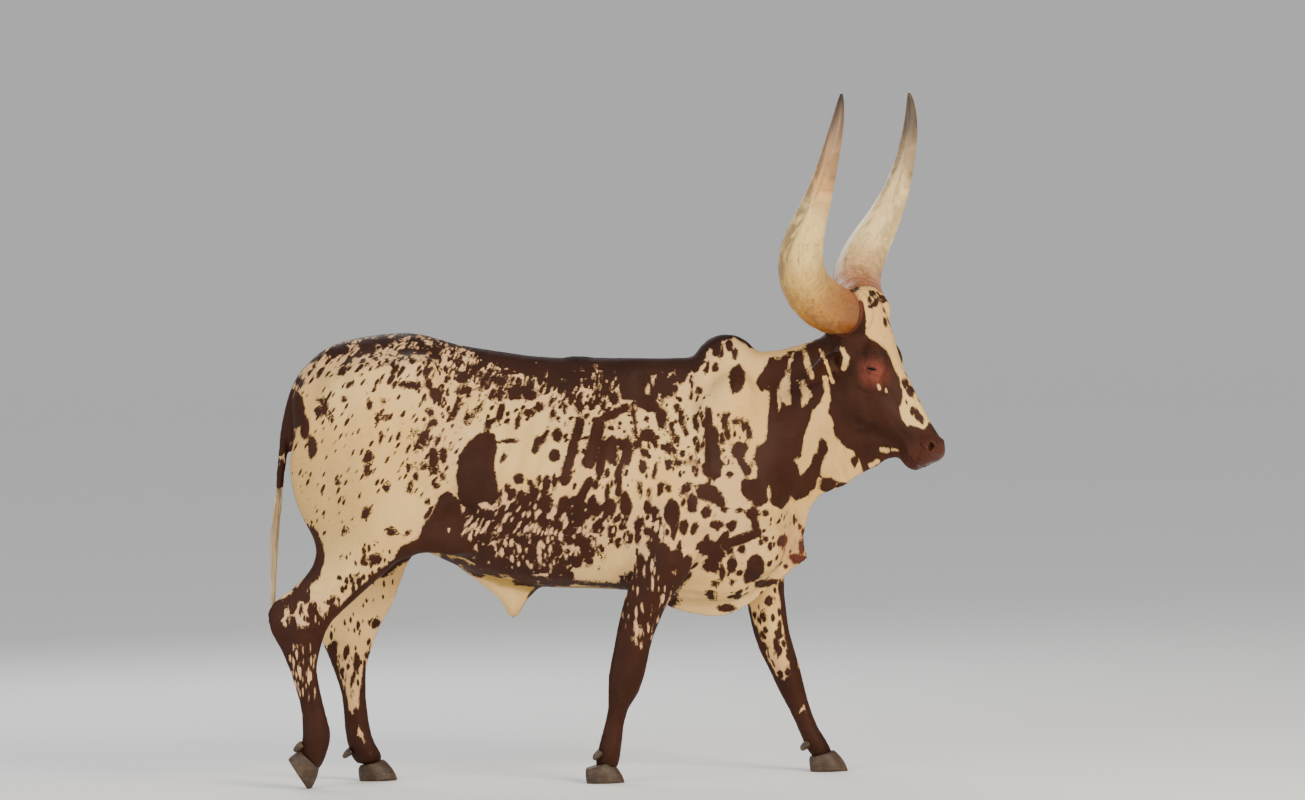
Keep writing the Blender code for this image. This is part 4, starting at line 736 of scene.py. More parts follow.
def shapeFace(skin):
    mesh = skin.data
    points = pointsOf(mesh)
    u, v, w = head["eye"]
    for side in (1, -1):
        out, along, across = eyeAxes(side)
        upward = across * -side
        centre = atHead(u, v, w * side)
        away = points - centre
        a, b, h = away @ along, away @ upward, away @ out
        r = np.linalg.norm(away, axis=1)
        near = (h > -0.006) & (r < 0.045)
        wide, high, low = faceSettings["opening"]
        e = (a / wide) ** 2 + np.abs(b) / np.where(b > 0, high, low)
        zone = ease((1.0 - np.hypot(a / 0.025, b / 0.021)) / 0.22) * (h > 0)
        lid = faceSettings["lid"] + 0.0008 * np.exp(-((e - 1.22) / 0.22) ** 2)
        shut = ease((e - 0.84) / 0.18)
        target = faceSettings["floor"] * (1 - shut) + lid * shut
        target = np.where((e < 1.4) | (r > lid), target, np.maximum(target, np.minimum(r, lid)))
        folded = np.zeros(len(points))
        for height, half, depth, thick in faceSettings["folds"]:
            arc = height * (1 - 0.45 * (a / half) ** 2)
            folded += depth * np.exp(-((b - arc) / thick) ** 2) * ease((1 - np.abs(a) / half) * 1.6)
        new = r * (1 - zone) + target * zone + folded * (e > 1.05)
        points = np.where(near[:, None], centre + away * (new / np.maximum(r, 1e-6))[:, None], points)
    setPoints(mesh, points)
    points, normals = pointsOf(mesh), normalsOf(mesh)
    for key, reach, depth in (("mouth", faceSettings["mouthWide"], faceSettings["mouthDeep"]),
                              ("nostrilTail", faceSettings["nostrilWide"], faceSettings["nostrilDeep"])):
        for side in (1, -1):
            line = np.array([atHead(u, v, w * side) for u, v, w in faceSettings[key]])
            near = np.linalg.norm(points - line.mean(axis=0), axis=1) < 0.11
            share, far = alongLine(points[near], line)
            ends = ease(share / 0.12) * (ease((1 - share) / 0.3) if key == "nostrilTail" else 1.0)
            points[near] -= normals[near] * (depth * ease(1 - far / reach) * ends)[:, None]
            swell = 0.0016 * np.exp(-((far - reach * 1.5) / (reach * 0.6)) ** 2) * ends
            points[near] += normals[near] * swell[:, None]
    setPoints(mesh, points)


def fleshOf(names):
    # copies of these nodes, grown a little so that they overlap
    grown = {"strength": skinSettings["overlap"], "mid_level": 0.0}
    return [finishWith(copyOfNode(name, name + "Flesh"), "DISPLACE", **grown) for name in names]


def makeSkin():
    skin = joinAll(fleshOf(skinSettings["nodes"]))
    finishWith(skin, "REMESH", mode="VOXEL", voxel_size=skinSettings["wideVoxel"])
    keepLargest(skin)
    place = pointsOf(skin.data) - shift
    broad = (clamp01((np.abs(place[:, 1]) - 0.03) / 0.05) * clamp01((place[:, 2] - 0.66) / 0.12)
             * clamp01((0.72 - place[:, 0]) / 0.12))
    relax(skin.data, 40, broad, (0.5,))
    relax(skin.data, 26, np.clip((place[:, 2] - 0.45) / 0.2, 0.45, 1.0))

    skin = joinAll([skin] + fleshOf(skinSettings["headNodes"]) + faceFillings())
    finishWith(skin, "REMESH", mode="VOXEL", voxel_size=skinSettings["fineVoxel"])
    keepLargest(skin)
    points = pointsOf(skin.data)
    seam = ease(1 - np.abs(inHead(points)) / 0.05) * (points[:, 2] > 0.9)
    relax(skin.data, 34, seam, (0.5,))
    relax(skin.data, 14, 1 - 0.6 * bareness(points))
    for part, where in (("eye", [head["eye"]]), ("mouth", faceSettings["mouth"]),
                        ("nostril", [faceSettings["nostril"]])):
        places = [place for spot in where for place in bothSides(*spot)]
        refineNear(skin, places, faceSettings[part + "Reach"], faceSettings[part + "Cuts"])
    muzzle = farFrom(pointsOf(skin.data), atHead(0.53, 0.06, 0.0)) < 0.13
    relax(skin.data, 3, muzzle * 0.8)
    skin.name = skin.data.name = "skin"
    print("skin fused:", len(skin.data.polygons), "faces")
    return skin


strokes = {
    # on the drawing: path, reach in steps and depth in metres, negative where it sinks
    "flank": [
        ([(455, 400), (448, 440), (452, 480), (462, 512)], 22, -0.010),      # hollow before the thigh
        ([(470, 512), (452, 492), (440, 500)], 9, -0.006),
        ([(432, 522), (444, 506), (462, 500)], 7, 0.005),                    # flank fold
        ([(402, 372), (410, 384), (418, 398)], 12, 0.006),                   # hip
        ([(330, 352), (345, 372)], 14, -0.004),
        ([(345, 380), (352, 430), (348, 480)], 16, -0.005),                  # between the thigh muscles
        ([(378, 420), (392, 480), (398, 520)], 22, 0.005),
        ([(308, 420), (318, 470), (326, 520)], 14, 0.004),
        ([(384, 566), (362, 582), (344, 600)], 8, -0.003),
        ([(640, 380), (646, 420), (655, 470), (652, 520)], 13, -0.006),      # behind the shoulder
        ([(700, 370), (704, 420), (712, 470)], 12, 0.006),                   # ridge of the shoulder blade
        ([(738, 400), (744, 450), (752, 500)], 12, -0.006),                  # neck meets shoulder
        ([(722, 520), (700, 540), (676, 552)], 10, -0.005),
        ([(690, 500), (700, 520), (716, 530)], 12, 0.006),
        ([(770, 512), (784, 540), (782, 566)], 5, -0.004),                   # dewlap folds
        ([(792, 500), (797, 520), (800, 538)], 4, -0.0035),
        ([(808, 492), (806, 515)], 4, -0.003),
        ([(744, 530), (752, 552), (760, 572)], 6, -0.003),
        ([(846, 440), (838, 462), (846, 480)], 6, -0.003),
        ([(610, 590), (625, 566), (620, 545)], 6, -0.003),
    ],
    "ribs": {"from": 470, "to": 640, "count": 9, "top": 395, "foot": 545, "depth": 0.0022},
    "legs": [
        ([(300, 604), (292, 616)], 5, -0.004), ([(312, 602), (322, 628)], 5, -0.003),
        ([(303, 650), (312, 690), (314, 715)], 4, -0.0022), ([(618, 690), (622, 700)], 5, 0.003),
        ([(640, 630), (632, 660)], 6, -0.003), ([(610, 720), (606, 745)], 3.4, -0.002),
        ([(655, 610), (640, 650)], 5, 0.003),
    ],
    "face": [
        ([(882, 372), (893, 392), (903, 412)], 5, 0.0022),                   # cheek bone
        ([(878, 398), (890, 418), (905, 440)], 6, -0.0025),
        ([(850, 372), (846, 400), (852, 430)], 7, 0.0025),
        ([(862, 392), (872, 430), (884, 452)], 7, -0.0028),
        ([(858, 352), (868, 350), (878, 354)], 4, 0.0028),                   # brow
        ([(860, 384), (869, 387), (878, 384)], 2.2, -0.0016),
        ([(857, 390), (868, 394), (880, 390)], 2.2, -0.0014),
        ([(860, 361), (868, 358), (876, 361)], 1.8, -0.0012),
        ([(900, 432), (914, 441), (924, 451)], 4, -0.0016),
        # the nostril's slit and the folds under it
        ([(926.5, 442), (931, 446), (937.5, 450.5)], 2.0, -0.0045),
        ([(929, 451.5), (936, 454.5)], 1.9, 0.0018),
        ([(925, 454.5), (929, 456.5), (935, 457.5)], 1.8, -0.0018),
    ],
}


def sculpt(skin):
    mesh = skin.data
    points, normals = pointsOf(mesh), normalsOf(mesh)
    x, y = onDrawing(points)
    headSide = inHead(points) > 0
    w = (points - headPoll) @ headLeft
    outward = np.where(headSide, np.abs(normals @ headLeft), np.abs(normals[:, 1]))
    facing = ease((outward - 0.15) / 0.5)
    push = np.zeros(len(points))
    for name, where in (("flank", ~headSide), ("legs", ~headSide), ("face", headSide)):
        for path, reach, depth in strokes[name]:
            push += depth * ease(strokeReach(x, y, path, reach) / reach) * where * facing
    ribs = strokes["ribs"]
    spacing = (ribs["to"] - ribs["from"]) / ribs["count"]
    wave = np.cos((x - ribs["from"] + (y - 470) * 0.22) / spacing * 2 * math.pi)
    window = (ease((x - ribs["from"]) / 30) * ease((ribs["to"] - x) / 30) * ease((y - ribs["top"]) / 40)
              * ease((ribs["foot"] - y) / 40))
    push += ribs["depth"] * wave * window * facing * ~headSide
    depth = skinSettings["coatDepth"] * (1 - 0.85 * bareness(points))
    thin = np.interp(points[:, 2], [0.12, 0.18], [0.4, 1.0])
    points += normals * (push - depth * thin)[:, None]
    setPoints(mesh, points)


def thinOut(skin):
    mesh = skin.data
    isHead = inHead(pointsOf(mesh)) > 0.0
    total, headTriangles = 2 * len(mesh.polygons), 2 * isHead.sum()
    ratio = (skinSettings["triangles"] - headTriangles) / (total - headTriangles)
    editPoints(skin, ~isHead)
    bpy.ops.mesh.decimate(ratio=ratio)
    bpy.ops.mesh.select_all(action="SELECT")
    bpy.ops.mesh.quads_convert_to_tris()
    bpy.ops.object.mode_set(mode="OBJECT")
    bpy.ops.object.shade_smooth()
    # the muzzle's foremost few millimetres are pressed back a little, into the solids' box
    points = pointsOf(mesh)
    points[:, 0] -= 0.4 * np.maximum(points[:, 0] - (cadBox[1][0] - 0.0035), 0)
    setPoints(mesh, points)
    print("skin thinned:", len(mesh.polygons), "triangles")


# Materials

class Shades:
    # a node tree with short names for the nodes that the materials share

    def __init__(self, tree):
        self.tree = tree

    def add(self, kind, inputs=None, **settings):
        made = self.tree.nodes.new(kind)
        for key, value in settings.items():
            setattr(made, key, value)
        for key, value in (inputs or {}).items():
            self.give(value, made.inputs[key])
        return made

    def give(self, value, socket):
        if isinstance(value, bpy.types.NodeSocket):
            self.tree.links.new(value, socket)
        else:
            socket.default_value = value

    def maths(self, operation, *values, clamp=False):
        made = self.add("ShaderNodeMath", dict(enumerate(values)), operation=operation)
        made.use_clamp = clamp
        return made.outputs[0]

    def scaled(self, value, by, plus=0.0, clamp=True):
        return self.maths("MULTIPLY_ADD", value, by, plus, clamp=clamp)

    def times(self, one, two, clamp=False):
        return self.maths("MULTIPLY", one, two, clamp=clamp)

    def plus(self, one, two):
        return self.maths("ADD", one, two)

    def length(self, one, two):
        return self.maths("SQRT", self.plus(self.times(one, one), self.times(two, two)))

    def vectors(self, operation, *values):
        return self.add("ShaderNodeVectorMath", dict(enumerate(values)), operation=operation).outputs[0]

    def noise(self, vector, scale, detail=2.0, rough=0.5, output="Fac"):
        return self.add("ShaderNodeTexNoise", {"Vector": vector, "Scale": scale, "Detail": detail,
                                               "Roughness": rough}).outputs[output]

    def cells(self, vector, scale, wobble, wobbleBy):
        # how far the nearest cell's middle is, and a chance number for each cell
        drift = self.noise(vector, wobble, output="Color")
        moved = self.vectors("MULTIPLY_ADD", drift, (wobbleBy,) * 3, vector)
        made = self.add("ShaderNodeTexVoronoi", {"Vector": moved, "Scale": scale})
        chance = self.add("ShaderNodeSeparateColor", {0: made.outputs["Color"]}).outputs[0]
        return made.outputs["Distance"], chance

    def mapped(self, vector, scale, turn=(0, 0, 0)):
        return self.add("ShaderNodeMapping", {"Vector": vector, "Scale": scale, "Rotation": turn}).outputs[0]

    def parts(self, vector):
        return self.add("ShaderNodeSeparateXYZ", {0: vector}).outputs

    def mix(self, share, one, two, blend="MIX"):
        made = self.add("ShaderNodeMix", data_type="RGBA", blend_type=blend)
        for socket, value in zip((made.inputs[0], made.inputs[6], made.inputs[7]), (share, one, two)):
            self.give(value, socket)
        return made.outputs[2]

    def shade(self, colour, by):
        return self.add("ShaderNodeVectorMath", {0: colour, 3: by}, operation="SCALE").outputs[0]

    def read(self, name, output="Vector"):
        return self.add("ShaderNodeAttribute", attribute_name=name, attribute_type="GEOMETRY").outputs[output]

    def objectPlace(self):
        return self.add("ShaderNodeTexCoord").outputs["Object"]

    def bump(self, height, strength, distance):
        given = {"Height": height, "Strength": strength, "Distance": distance}
        return self.add("ShaderNodeBump", given).outputs[0]


hideColours = {
    "cream": (0.790, 0.470, 0.152, 1), "paleCream": (0.850, 0.570, 0.235, 1),
    "pinkCream": (0.760, 0.460, 0.235, 1), "straw": (0.430, 0.260, 0.062, 1),
    "brown": (0.034, 0.0095, 0.0036, 1), "redBrown": (0.052, 0.0150, 0.0060, 1),
    "darkest": (0.014, 0.0070, 0.0050, 1),
    "bareRed": (0.185, 0.046, 0.027, 1), "barePink": (0.40, 0.17, 0.11, 1),
}
# spots: cells to a metre, their wobble and how far it goes, least and most share of the reach, sharpness
hideSpots = {
    "blotch": (30.0, 42.0, 0.016, 0.72, 1.28, 11.0),
    "flecks": (52.0, 80.0, 0.006, 0.55, 1.45, 11.0),
    "creamFlecks": (74.0, 90.0, 0.006, 0.50, 1.60, 6.0),
}


def makeHideGroup():
    tree = bpy.data.node_groups.new("hideMarkings", "ShaderNodeTree")
    for way, kind, labels in (("INPUT", "Vector", ("Place", "Streak", "Marks", "Tint")),
                              ("INPUT", "Float", ("Tone",)),
                              ("OUTPUT", "Color", ("Colour",)), ("OUTPUT", "Float", ("Brown", "Grain"))):
        for label in labels:
            tree.interface.new_socket(label, in_out=way, socket_type="NodeSocket" + kind)
    s = Shades(tree)
    given, made = s.add("NodeGroupInput").outputs, s.add("NodeGroupOutput").inputs
    place, streak = given["Place"], given["Streak"]
    patchReach, blotchReach, dotsReach = s.parts(given["Marks"])
    red, straw, darker = s.parts(given["Tint"])

    def spots(kind, vector, reach, torn):
        scale, wobble, wobbleBy, least, most, sharp = hideSpots[kind]
        away, chance = s.cells(vector, scale, wobble, wobbleBy)
        sized = s.times(reach, s.scaled(chance, most - least, least, clamp=False))
        broken = s.times(torn, s.times(sized, 2.2, clamp=True))              # small spots stay whole
        return s.scaled(s.plus(s.maths("SUBTRACT", sized, away), broken), sharp, 0.5)

    wide, fine = s.noise(streak, 34.0, 3.0, 0.6), s.noise(streak, 105.0)
    rough = s.scaled(wide, 0.50, s.scaled(fine, 0.20, -0.35, clamp=False), clamp=False)
    blotch = spots("blotch", streak, blotchReach, rough)
    flecks = spots("flecks", streak, dotsReach, rough)
    drawn = s.vectors("MULTIPLY", streak, (1.15, 0.55, 0.58))
    torn = s.scaled(s.noise(drawn, 62.0, 3.0, 0.6), 1.8, -0.90, clamp=False)
    creamFlecks = spots("creamFlecks", drawn, dotsReach, torn)
    edge = s.plus(s.scaled(wide, 0.017, -0.0085, clamp=False), s.scaled(fine, 0.010, -0.005, clamp=False))
    patch = s.scaled(s.plus(patchReach, edge), 240.0, 0.5)
    holes = s.scaled(s.plus(flecks, creamFlecks), -1.0, 1.0, clamp=False)
    flecked = s.scaled(blotch, holes, flecks, clamp=False)                   # cream flecks where it is brown
    brown = s.maths("MAXIMUM", flecked, patch)

    cream = s.mix(s.scaled(s.noise(place, 5.0), 2.4, -0.7), hideColours["cream"], hideColours["paleCream"])
    cream = s.mix(s.times(blotchReach, 1.2, clamp=True), cream, hideColours["pinkCream"])
    # straw darkens the cream: a band on the belly's edge and the neck, and painted shade on the lower rump
    cream = s.mix(straw, cream, hideColours["straw"])
    warmer = s.scaled(s.noise(place, 11.0, 3.0), 2.2, -0.6)
    dark = s.mix(warmer, hideColours["brown"], hideColours["redBrown"])
    dark = s.mix(darker, dark, hideColours["darkest"])
    bareShare = s.times(red, s.scaled(wide, 1.5, s.scaled(fine, 1.2, -0.55, clamp=False)))
    bare = s.mix(brown, hideColours["barePink"], hideColours["bareRed"])
    coat = s.mix(bareShare, s.mix(brown, cream, dark), bare)
    s.give(s.shade(coat, given["Tone"]), made["Colour"])
    s.give(brown, made["Brown"])
    s.give(s.noise(streak, 700.0, 2.0, 0.6), made["Grain"])
    return tree


def newMaterial(name, **sockets):
    made = bpy.data.materials.new(name)
    made.use_nodes = True
    shader = made.node_tree.nodes["Principled BSDF"].inputs
    for key, value in sockets.items():
        shader[key.replace("_", " ")].default_value = value
    return made, Shades(made.node_tree), shader


def makeHide(name, group, isSkin):
    made, s, shader = newMaterial(name, Roughness=0.62, Specular_IOR_Level=0.16, Sheen_Weight=0.03,
                                  Sheen_Roughness=0.45)
    place = s.objectPlace() if isSkin else s.read("rootPlace")
    hide = s.add("ShaderNodeGroup", node_tree=group)
    for socket, value in (("Place", place), ("Streak", s.read("streakPlace")), ("Marks", s.read("marks")),
                          ("Tint", s.read("tint")), ("Tone", s.read("tone", "Fac"))):
        s.give(value, hide.inputs[socket])
    s.give(hide.outputs["Colour"], shader["Base Color"])
    rough = s.scaled(hide.outputs["Brown"], -0.10, 0.66, clamp=False)
    if isSkin:
        bare = s.read("bare", "Fac")
        pebbles = s.add("ShaderNodeTexVoronoi", {"Vector": place, "Scale": 360.0}).outputs["Distance"]
        height = s.scaled(s.times(pebbles, bare), -1.1, hide.outputs["Grain"], clamp=False)
        s.give(s.bump(height, 0.45, 0.0014), shader["Normal"])
        rough = s.scaled(bare, -0.20, rough, clamp=False)
    s.give(rough, shader["Roughness"])
    return made


# Coat: short tufts over the skin, each a slim wedge rooted in it and lying back along the body

coatSettings = {
    "parting": -0.12,        # where the trunk's coat is split in a fore and a hind piece
    "turn": 0.16,                        # how much the tufts cross each other
    "root": (0.16, 0.0011),              # how far back and in a tuft is rooted
    "shoulder": (0.22, 0.0003, 0.42),    # how far on and out it is widest
    "tip": 0.84, "tones": (0.92, 1.09), "seed": 41,
    "spread": {"long": (0.72, 1.15), "wide": (0.75, 1.2), "lift": (0.55, 1.0)},
    "trunk": {"count": 47500, "long": 0.0084, "wide": 0.0029, "lift": 0.0009},
    "legs": {"count": 48000, "long": 0.0076, "wide": 0.0022, "lift": 0.0009},
    "head": {"count": 48000, "long": 0.0054, "wide": 0.0016, "lift": 0.0006},
    # longer hair: place, reach, how many times as long and how far it stands off
    "longer": [
        ((-0.268, 0.0, 0.530), 0.040, 2.2, 0.003), ((-0.035, 0.0, 1.358), 0.045, 2.2, 0.006),
    ],
}


def longerPlaces():
    # besides those places, the hair over the hooves' rims and round the dewclaws' roots
    found = list(coatSettings["longer"])
    for name in sorted(nodes):
        if "claw" in name:
            points = pointsOf(nodes[name].data) - shift
            if "dewclaw" in name:
                found.append((points.mean(axis=0), 0.028, 2.0, 0.003))
            else:
                found.append(((*points.mean(axis=0)[:2], points[:, 2].max()), 0.045, 1.9, 0.0015))
    return found


def flowAt(points, normals):
    place = points - shift
    x, y, z = place.T
    way = np.tile(np.array((-1.0, 0.0, -0.42)), (len(points), 1))
    low = ease((1.10 - z) / 0.4)[:, None]
    way = way * (1 - low) + np.array((-0.75, 0.0, -0.85)) * low
    rump = ease((-0.62 - x) / 0.25)[:, None]
    way = way * (1 - rump) + np.array((-0.45, 0.0, -1.0)) * rump
    neck = ease((x - 0.50) / 0.15)[:, None]
    way = way * (1 - neck) + np.array((-0.55, 0.0, -0.95)) * neck
    legs = ease((0.74 - z) / 0.10)[:, None] * ((np.abs(y) > 0.07) | (z < 0.5))[:, None]
    way = way * (1 - legs) + np.array((-0.08, 0.0, -1.0)) * legs
    tail = ((x < -0.955) & (np.abs(y) < 0.06))[:, None]
    way = np.where(tail, np.array((-0.1, 0.0, -1.0)), way)
    inside = ease(inHead(points) / 0.05 + 0.3)[:, None]
    v = (points - headPoll) @ headBack
    downFace = headDown + headBack * 0.45 * ease((v - 0.05) / 0.1)[:, None]
    way = way * (1 - inside) + downFace * inside
    way -= normals * np.sum(way * normals, axis=1)[:, None]
    return way / np.maximum(np.linalg.norm(way, axis=1), 1e-6)[:, None]


def unwrapOf(skin):
    flat = skin.copy()
    flat.data = skin.data.copy()
    bpy.context.scene.collection.objects.link(flat)
    finishWith(flat, "DECIMATE", ratio=9000 / len(flat.data.polygons))
    onlySelect(flat)
    bpy.ops.object.mode_set(mode="EDIT")
    bpy.ops.mesh.select_all(action="SELECT")
    bpy.ops.uv.smart_project(angle_limit=math.radians(66), island_margin=0.004)
    bpy.ops.object.mode_set(mode="OBJECT")
    mesh = flat.data
    points, corners = pointsOf(mesh), cornersOf(mesh)
    uv = np.empty(len(mesh.loops) * 2, np.float32)
    mesh.uv_layers.active.data.foreach_get("uv", uv)
    tree = BVHTree.FromPolygons(points.tolist(), corners.tolist())
    bpy.data.objects.remove(flat)
    return tree, points[corners], uv.reshape(-1, 3, 2)


def placeOnUnwrap(points, unwrap):
    tree, corners, uv = unwrap
    found = np.array([tree.find_nearest(Vector(p))[2] for p in points])
    a, b, c = corners[found, 0], corners[found, 1], corners[found, 2]
    e, f, g = b - a, c - a, points - a
    ee, ef, ff = (e * e).sum(1), (e * f).sum(1), (f * f).sum(1)
    ge, gf = (g * e).sum(1), (g * f).sum(1)
    scale = np.maximum(ee * ff - ef * ef, 1e-12)
    s, t = clamp01((ff * ge - ef * gf) / scale), clamp01((ee * gf - ef * ge) / scale)
    return (uv[found, 0] * (1 - s - t)[:, None] + uv[found, 1] * s[:, None] + uv[found, 2] * t[:, None])


def makeCoat(name, skinArrays, share, settings, draw, material, unwrap):
    corners, cornerNormals, areas = skinArrays
    weight = areas * share
    weight /= weight.sum()
    count = settings["count"] // 1
    pick = draw.choice(len(areas), count, p=weight)
    s, t = draw.random(count), draw.random(count)
    over = s + t > 1
    s[over], t[over] = 1 - s[over], 1 - t[over]
    s, t = s[:, None], t[:, None]
    root, normal = (three[pick, 0] * (1 - s - t) + three[pick, 1] * s + three[pick, 2] * t
                    for three in (corners, cornerNormals))
    normal /= np.linalg.norm(normal, axis=1)[:, None]
    way = flowAt(root, normal)
    side = np.cross(normal, way)
    turn = draw.normal(0, coatSettings["turn"], count)[:, None]
    way, side = way * np.cos(turn) + side * np.sin(turn), side * np.cos(turn) - way * np.sin(turn)
    long, wide, lift = (settings[key] * draw.uniform(*coatSettings["spread"][key], count)[:, None]
                        for key in ("long", "wide", "lift"))
    for place, reach, times, stand in longerPlaces():
        near = ease(1.3 - farFrom(root - shift, np.array(place)) / reach)[:, None]
        long, lift = long * (1 + (times - 1) * near), lift + stand * near
    back, inward = coatSettings["root"]
    onward, outward, raised = coatSettings["shoulder"]
    sunk = root - way * long * back - normal * inward
    across = root + way * long * onward + normal * (outward + lift * raised)
    tip = root + way * long * coatSettings["tip"] + normal * lift
    points = np.stack([sunk, across + side * wide / 2, across - side * wide / 2, tip], axis=1).reshape(-1, 3)
    # the normals stay near the skin's, so that the coat shades as one surface
    leans = (-way * 0.12, side * 0.22, -side * 0.22, way * 0.12)
    facing = np.stack([normal + lean for lean in leans], axis=1).reshape(-1, 3)
    tuft = np.array(((0, 2, 1), (1, 2, 3), (0, 1, 3), (0, 3, 2)))
    faces = (np.arange(count)[:, None, None] * 4 + tuft).reshape(-1, 3)
    mesh = meshFromArrays(name, points, faces)
    mesh.normals_split_custom_set_from_vertices(facing / np.linalg.norm(facing, axis=1)[:, None])
    marks, tint = markingsAt(root)
    kept = {"rootPlace": root, "streakPlace": streakPlaceOf(root), "marks": marks, "tint": tint}
    for key, values in kept.items():
        setVectors(mesh, key, np.repeat(values, 4, axis=0))
    setNumbers(mesh, "tone", np.repeat(draw.uniform(*coatSettings["tones"], count), 4))
    patch = np.array([(0, -0.0014), (-0.0013, 0), (0.0013, 0), (0, 0.0015)])
    uv = placeOnUnwrap(root, unwrap)[:, None, :] + patch
    layer = mesh.uv_layers.new(name="OFBake")
    layer.data.foreach_set("uv", uv.reshape(-1, 2)[faces.ravel()].astype(np.float32).ravel())
    finished(name, mesh, material)
    print(name, len(faces), "triangles")


# Horns

hornSettings = {
    "path": [(0.850, 1.481, 0.074), (0.841, 1.484, 0.100), (0.824, 1.489, 0.134), (0.792, 1.520, 0.195),
             (0.770, 1.572, 0.250), (0.773, 1.640, 0.306), (0.796, 1.709, 0.350), (0.825, 1.773, 0.374),
             (0.851, 1.836, 0.385), (0.874, 1.900, 0.388), (0.892, 1.964, 0.388), (0.907, 2.027, 0.383),
             (0.918, 2.094, 0.370), (0.922, 2.148, 0.353), (0.922, 2.174, 0.342)],
    "levels": 3, "ridge": 0.0012, "flute": 0.0005, "proud": 0.0006,
    # colours from foot to tip
    "colours": {
        "right": [(0.0, (0.200, 0.042, 0.015)), (1.0, (0.022, 0.018, 0.016)), (0.05, (0.270, 0.070, 0.014)),
                  (0.11, (0.350, 0.125, 0.020)), (0.20, (0.490, 0.235, 0.042)), (0.30, (0.640, 0.390, 0.095)),
                  (0.42, (0.880, 0.600, 0.205)), (0.58, (0.900, 0.620, 0.240)), (0.68, (0.640, 0.340, 0.120)),
                  (0.80, (0.360, 0.215, 0.110)), (0.92, (0.085, 0.060, 0.044))],
        "left": [(0.0, (0.240, 0.070, 0.040)), (1.0, (0.022, 0.020, 0.020)), (0.08, (0.330, 0.110, 0.060)),
                 (0.18, (0.470, 0.210, 0.100)), (0.30, (0.660, 0.420, 0.180)), (0.44, (0.900, 0.660, 0.290)),
                 (0.66, (0.880, 0.630, 0.290)), (0.79, (0.460, 0.330, 0.190)), (0.87, (0.100, 0.084, 0.070))],
    },
    "mottle": (0.210, 0.070, 0.014, 1), "stain": (0.330, 0.170, 0.070, 1),
    # the grime colour also serves for the painted shade down the horn's fore and hind sides
    "speck": (0.070, 0.042, 0.014, 1), "grime": (0.170, 0.100, 0.048, 1), "pale": (0.9, 0.8, 0.65, 1),
}


def hornLine(side):
    line = []
    for x, z, out in hornSettings["path"]:
        forward = (x - head["poll"][0]) / math.cos(head["yaw"])
        place = np.array((head["poll"][0], head["poll"][1], z))
        line.append(place + headAhead * forward + headLeft * out * side + shift)
    return np.array(line)


def hornAxis(side):
    line = hornLine(side)
    return (line[2] - line[0]) / np.linalg.norm(line[2] - line[0])


def alongLine(points, line):
    best, share = np.full(len(points), 1e9), np.zeros(len(points))
    lengths = np.linalg.norm(np.diff(line, axis=0), axis=1)
    whole, run = lengths.sum(), 0.0
    for a, b, length in zip(line, line[1:], lengths):
        t = clamp01((points - a) @ (b - a) / length ** 2)
        away = np.linalg.norm(points - a - t[:, None] * (b - a), axis=1)
        closer = away < best
        best = np.where(closer, away, best)
        share = np.where(closer, (run + t * length) / whole, share)
        run += length
    return share, best


def makeHorn(side, word, material):
    name = "horn_" + word
    horn = copyOfNode(name, "horn" + word.capitalize())
    onlySelect(horn)
    bpy.ops.object.mode_set(mode="EDIT")
    bpy.ops.mesh.select_all(action="SELECT")
    bpy.ops.mesh.tris_convert_to_quads(face_threshold=math.radians(60), shape_threshold=math.radians(60))
    bpy.ops.object.mode_set(mode="OBJECT")
    finishWith(horn, "SUBSURF", levels=hornSettings["levels"], render_levels=hornSettings["levels"])
    mesh = horn.data
    points, normals = pointsOf(mesh), normalsOf(mesh)
    share, _ = alongLine(points, hornLine(side))
    upward = np.array((0, 0, 1.0))
    around = np.arctan2(normals @ upward, normals @ np.cross(headLeft, upward))
    lower = clamp01(1 - share / 0.42) * clamp01(share / 0.05)
    ridges = hornSettings["ridge"] * np.sin(share * 92 + 0.6 * np.sin(around * 2)) * lower
    flutes = hornSettings["flute"] * np.sin(around * 9 + share * 7) * clamp01(1 - share)
    setPoints(mesh, points + normals * (ridges + flutes + hornSettings["proud"])[:, None])
    place = np.stack([np.cos(around) * 0.05, np.sin(around) * 0.05, share * 1.05], axis=1)
    setVectors(mesh, "hornPlace", place)
    setNumbers(mesh, "hornShare", share)
    smooth(horn)
    finished(horn.name, mesh, material, [name])


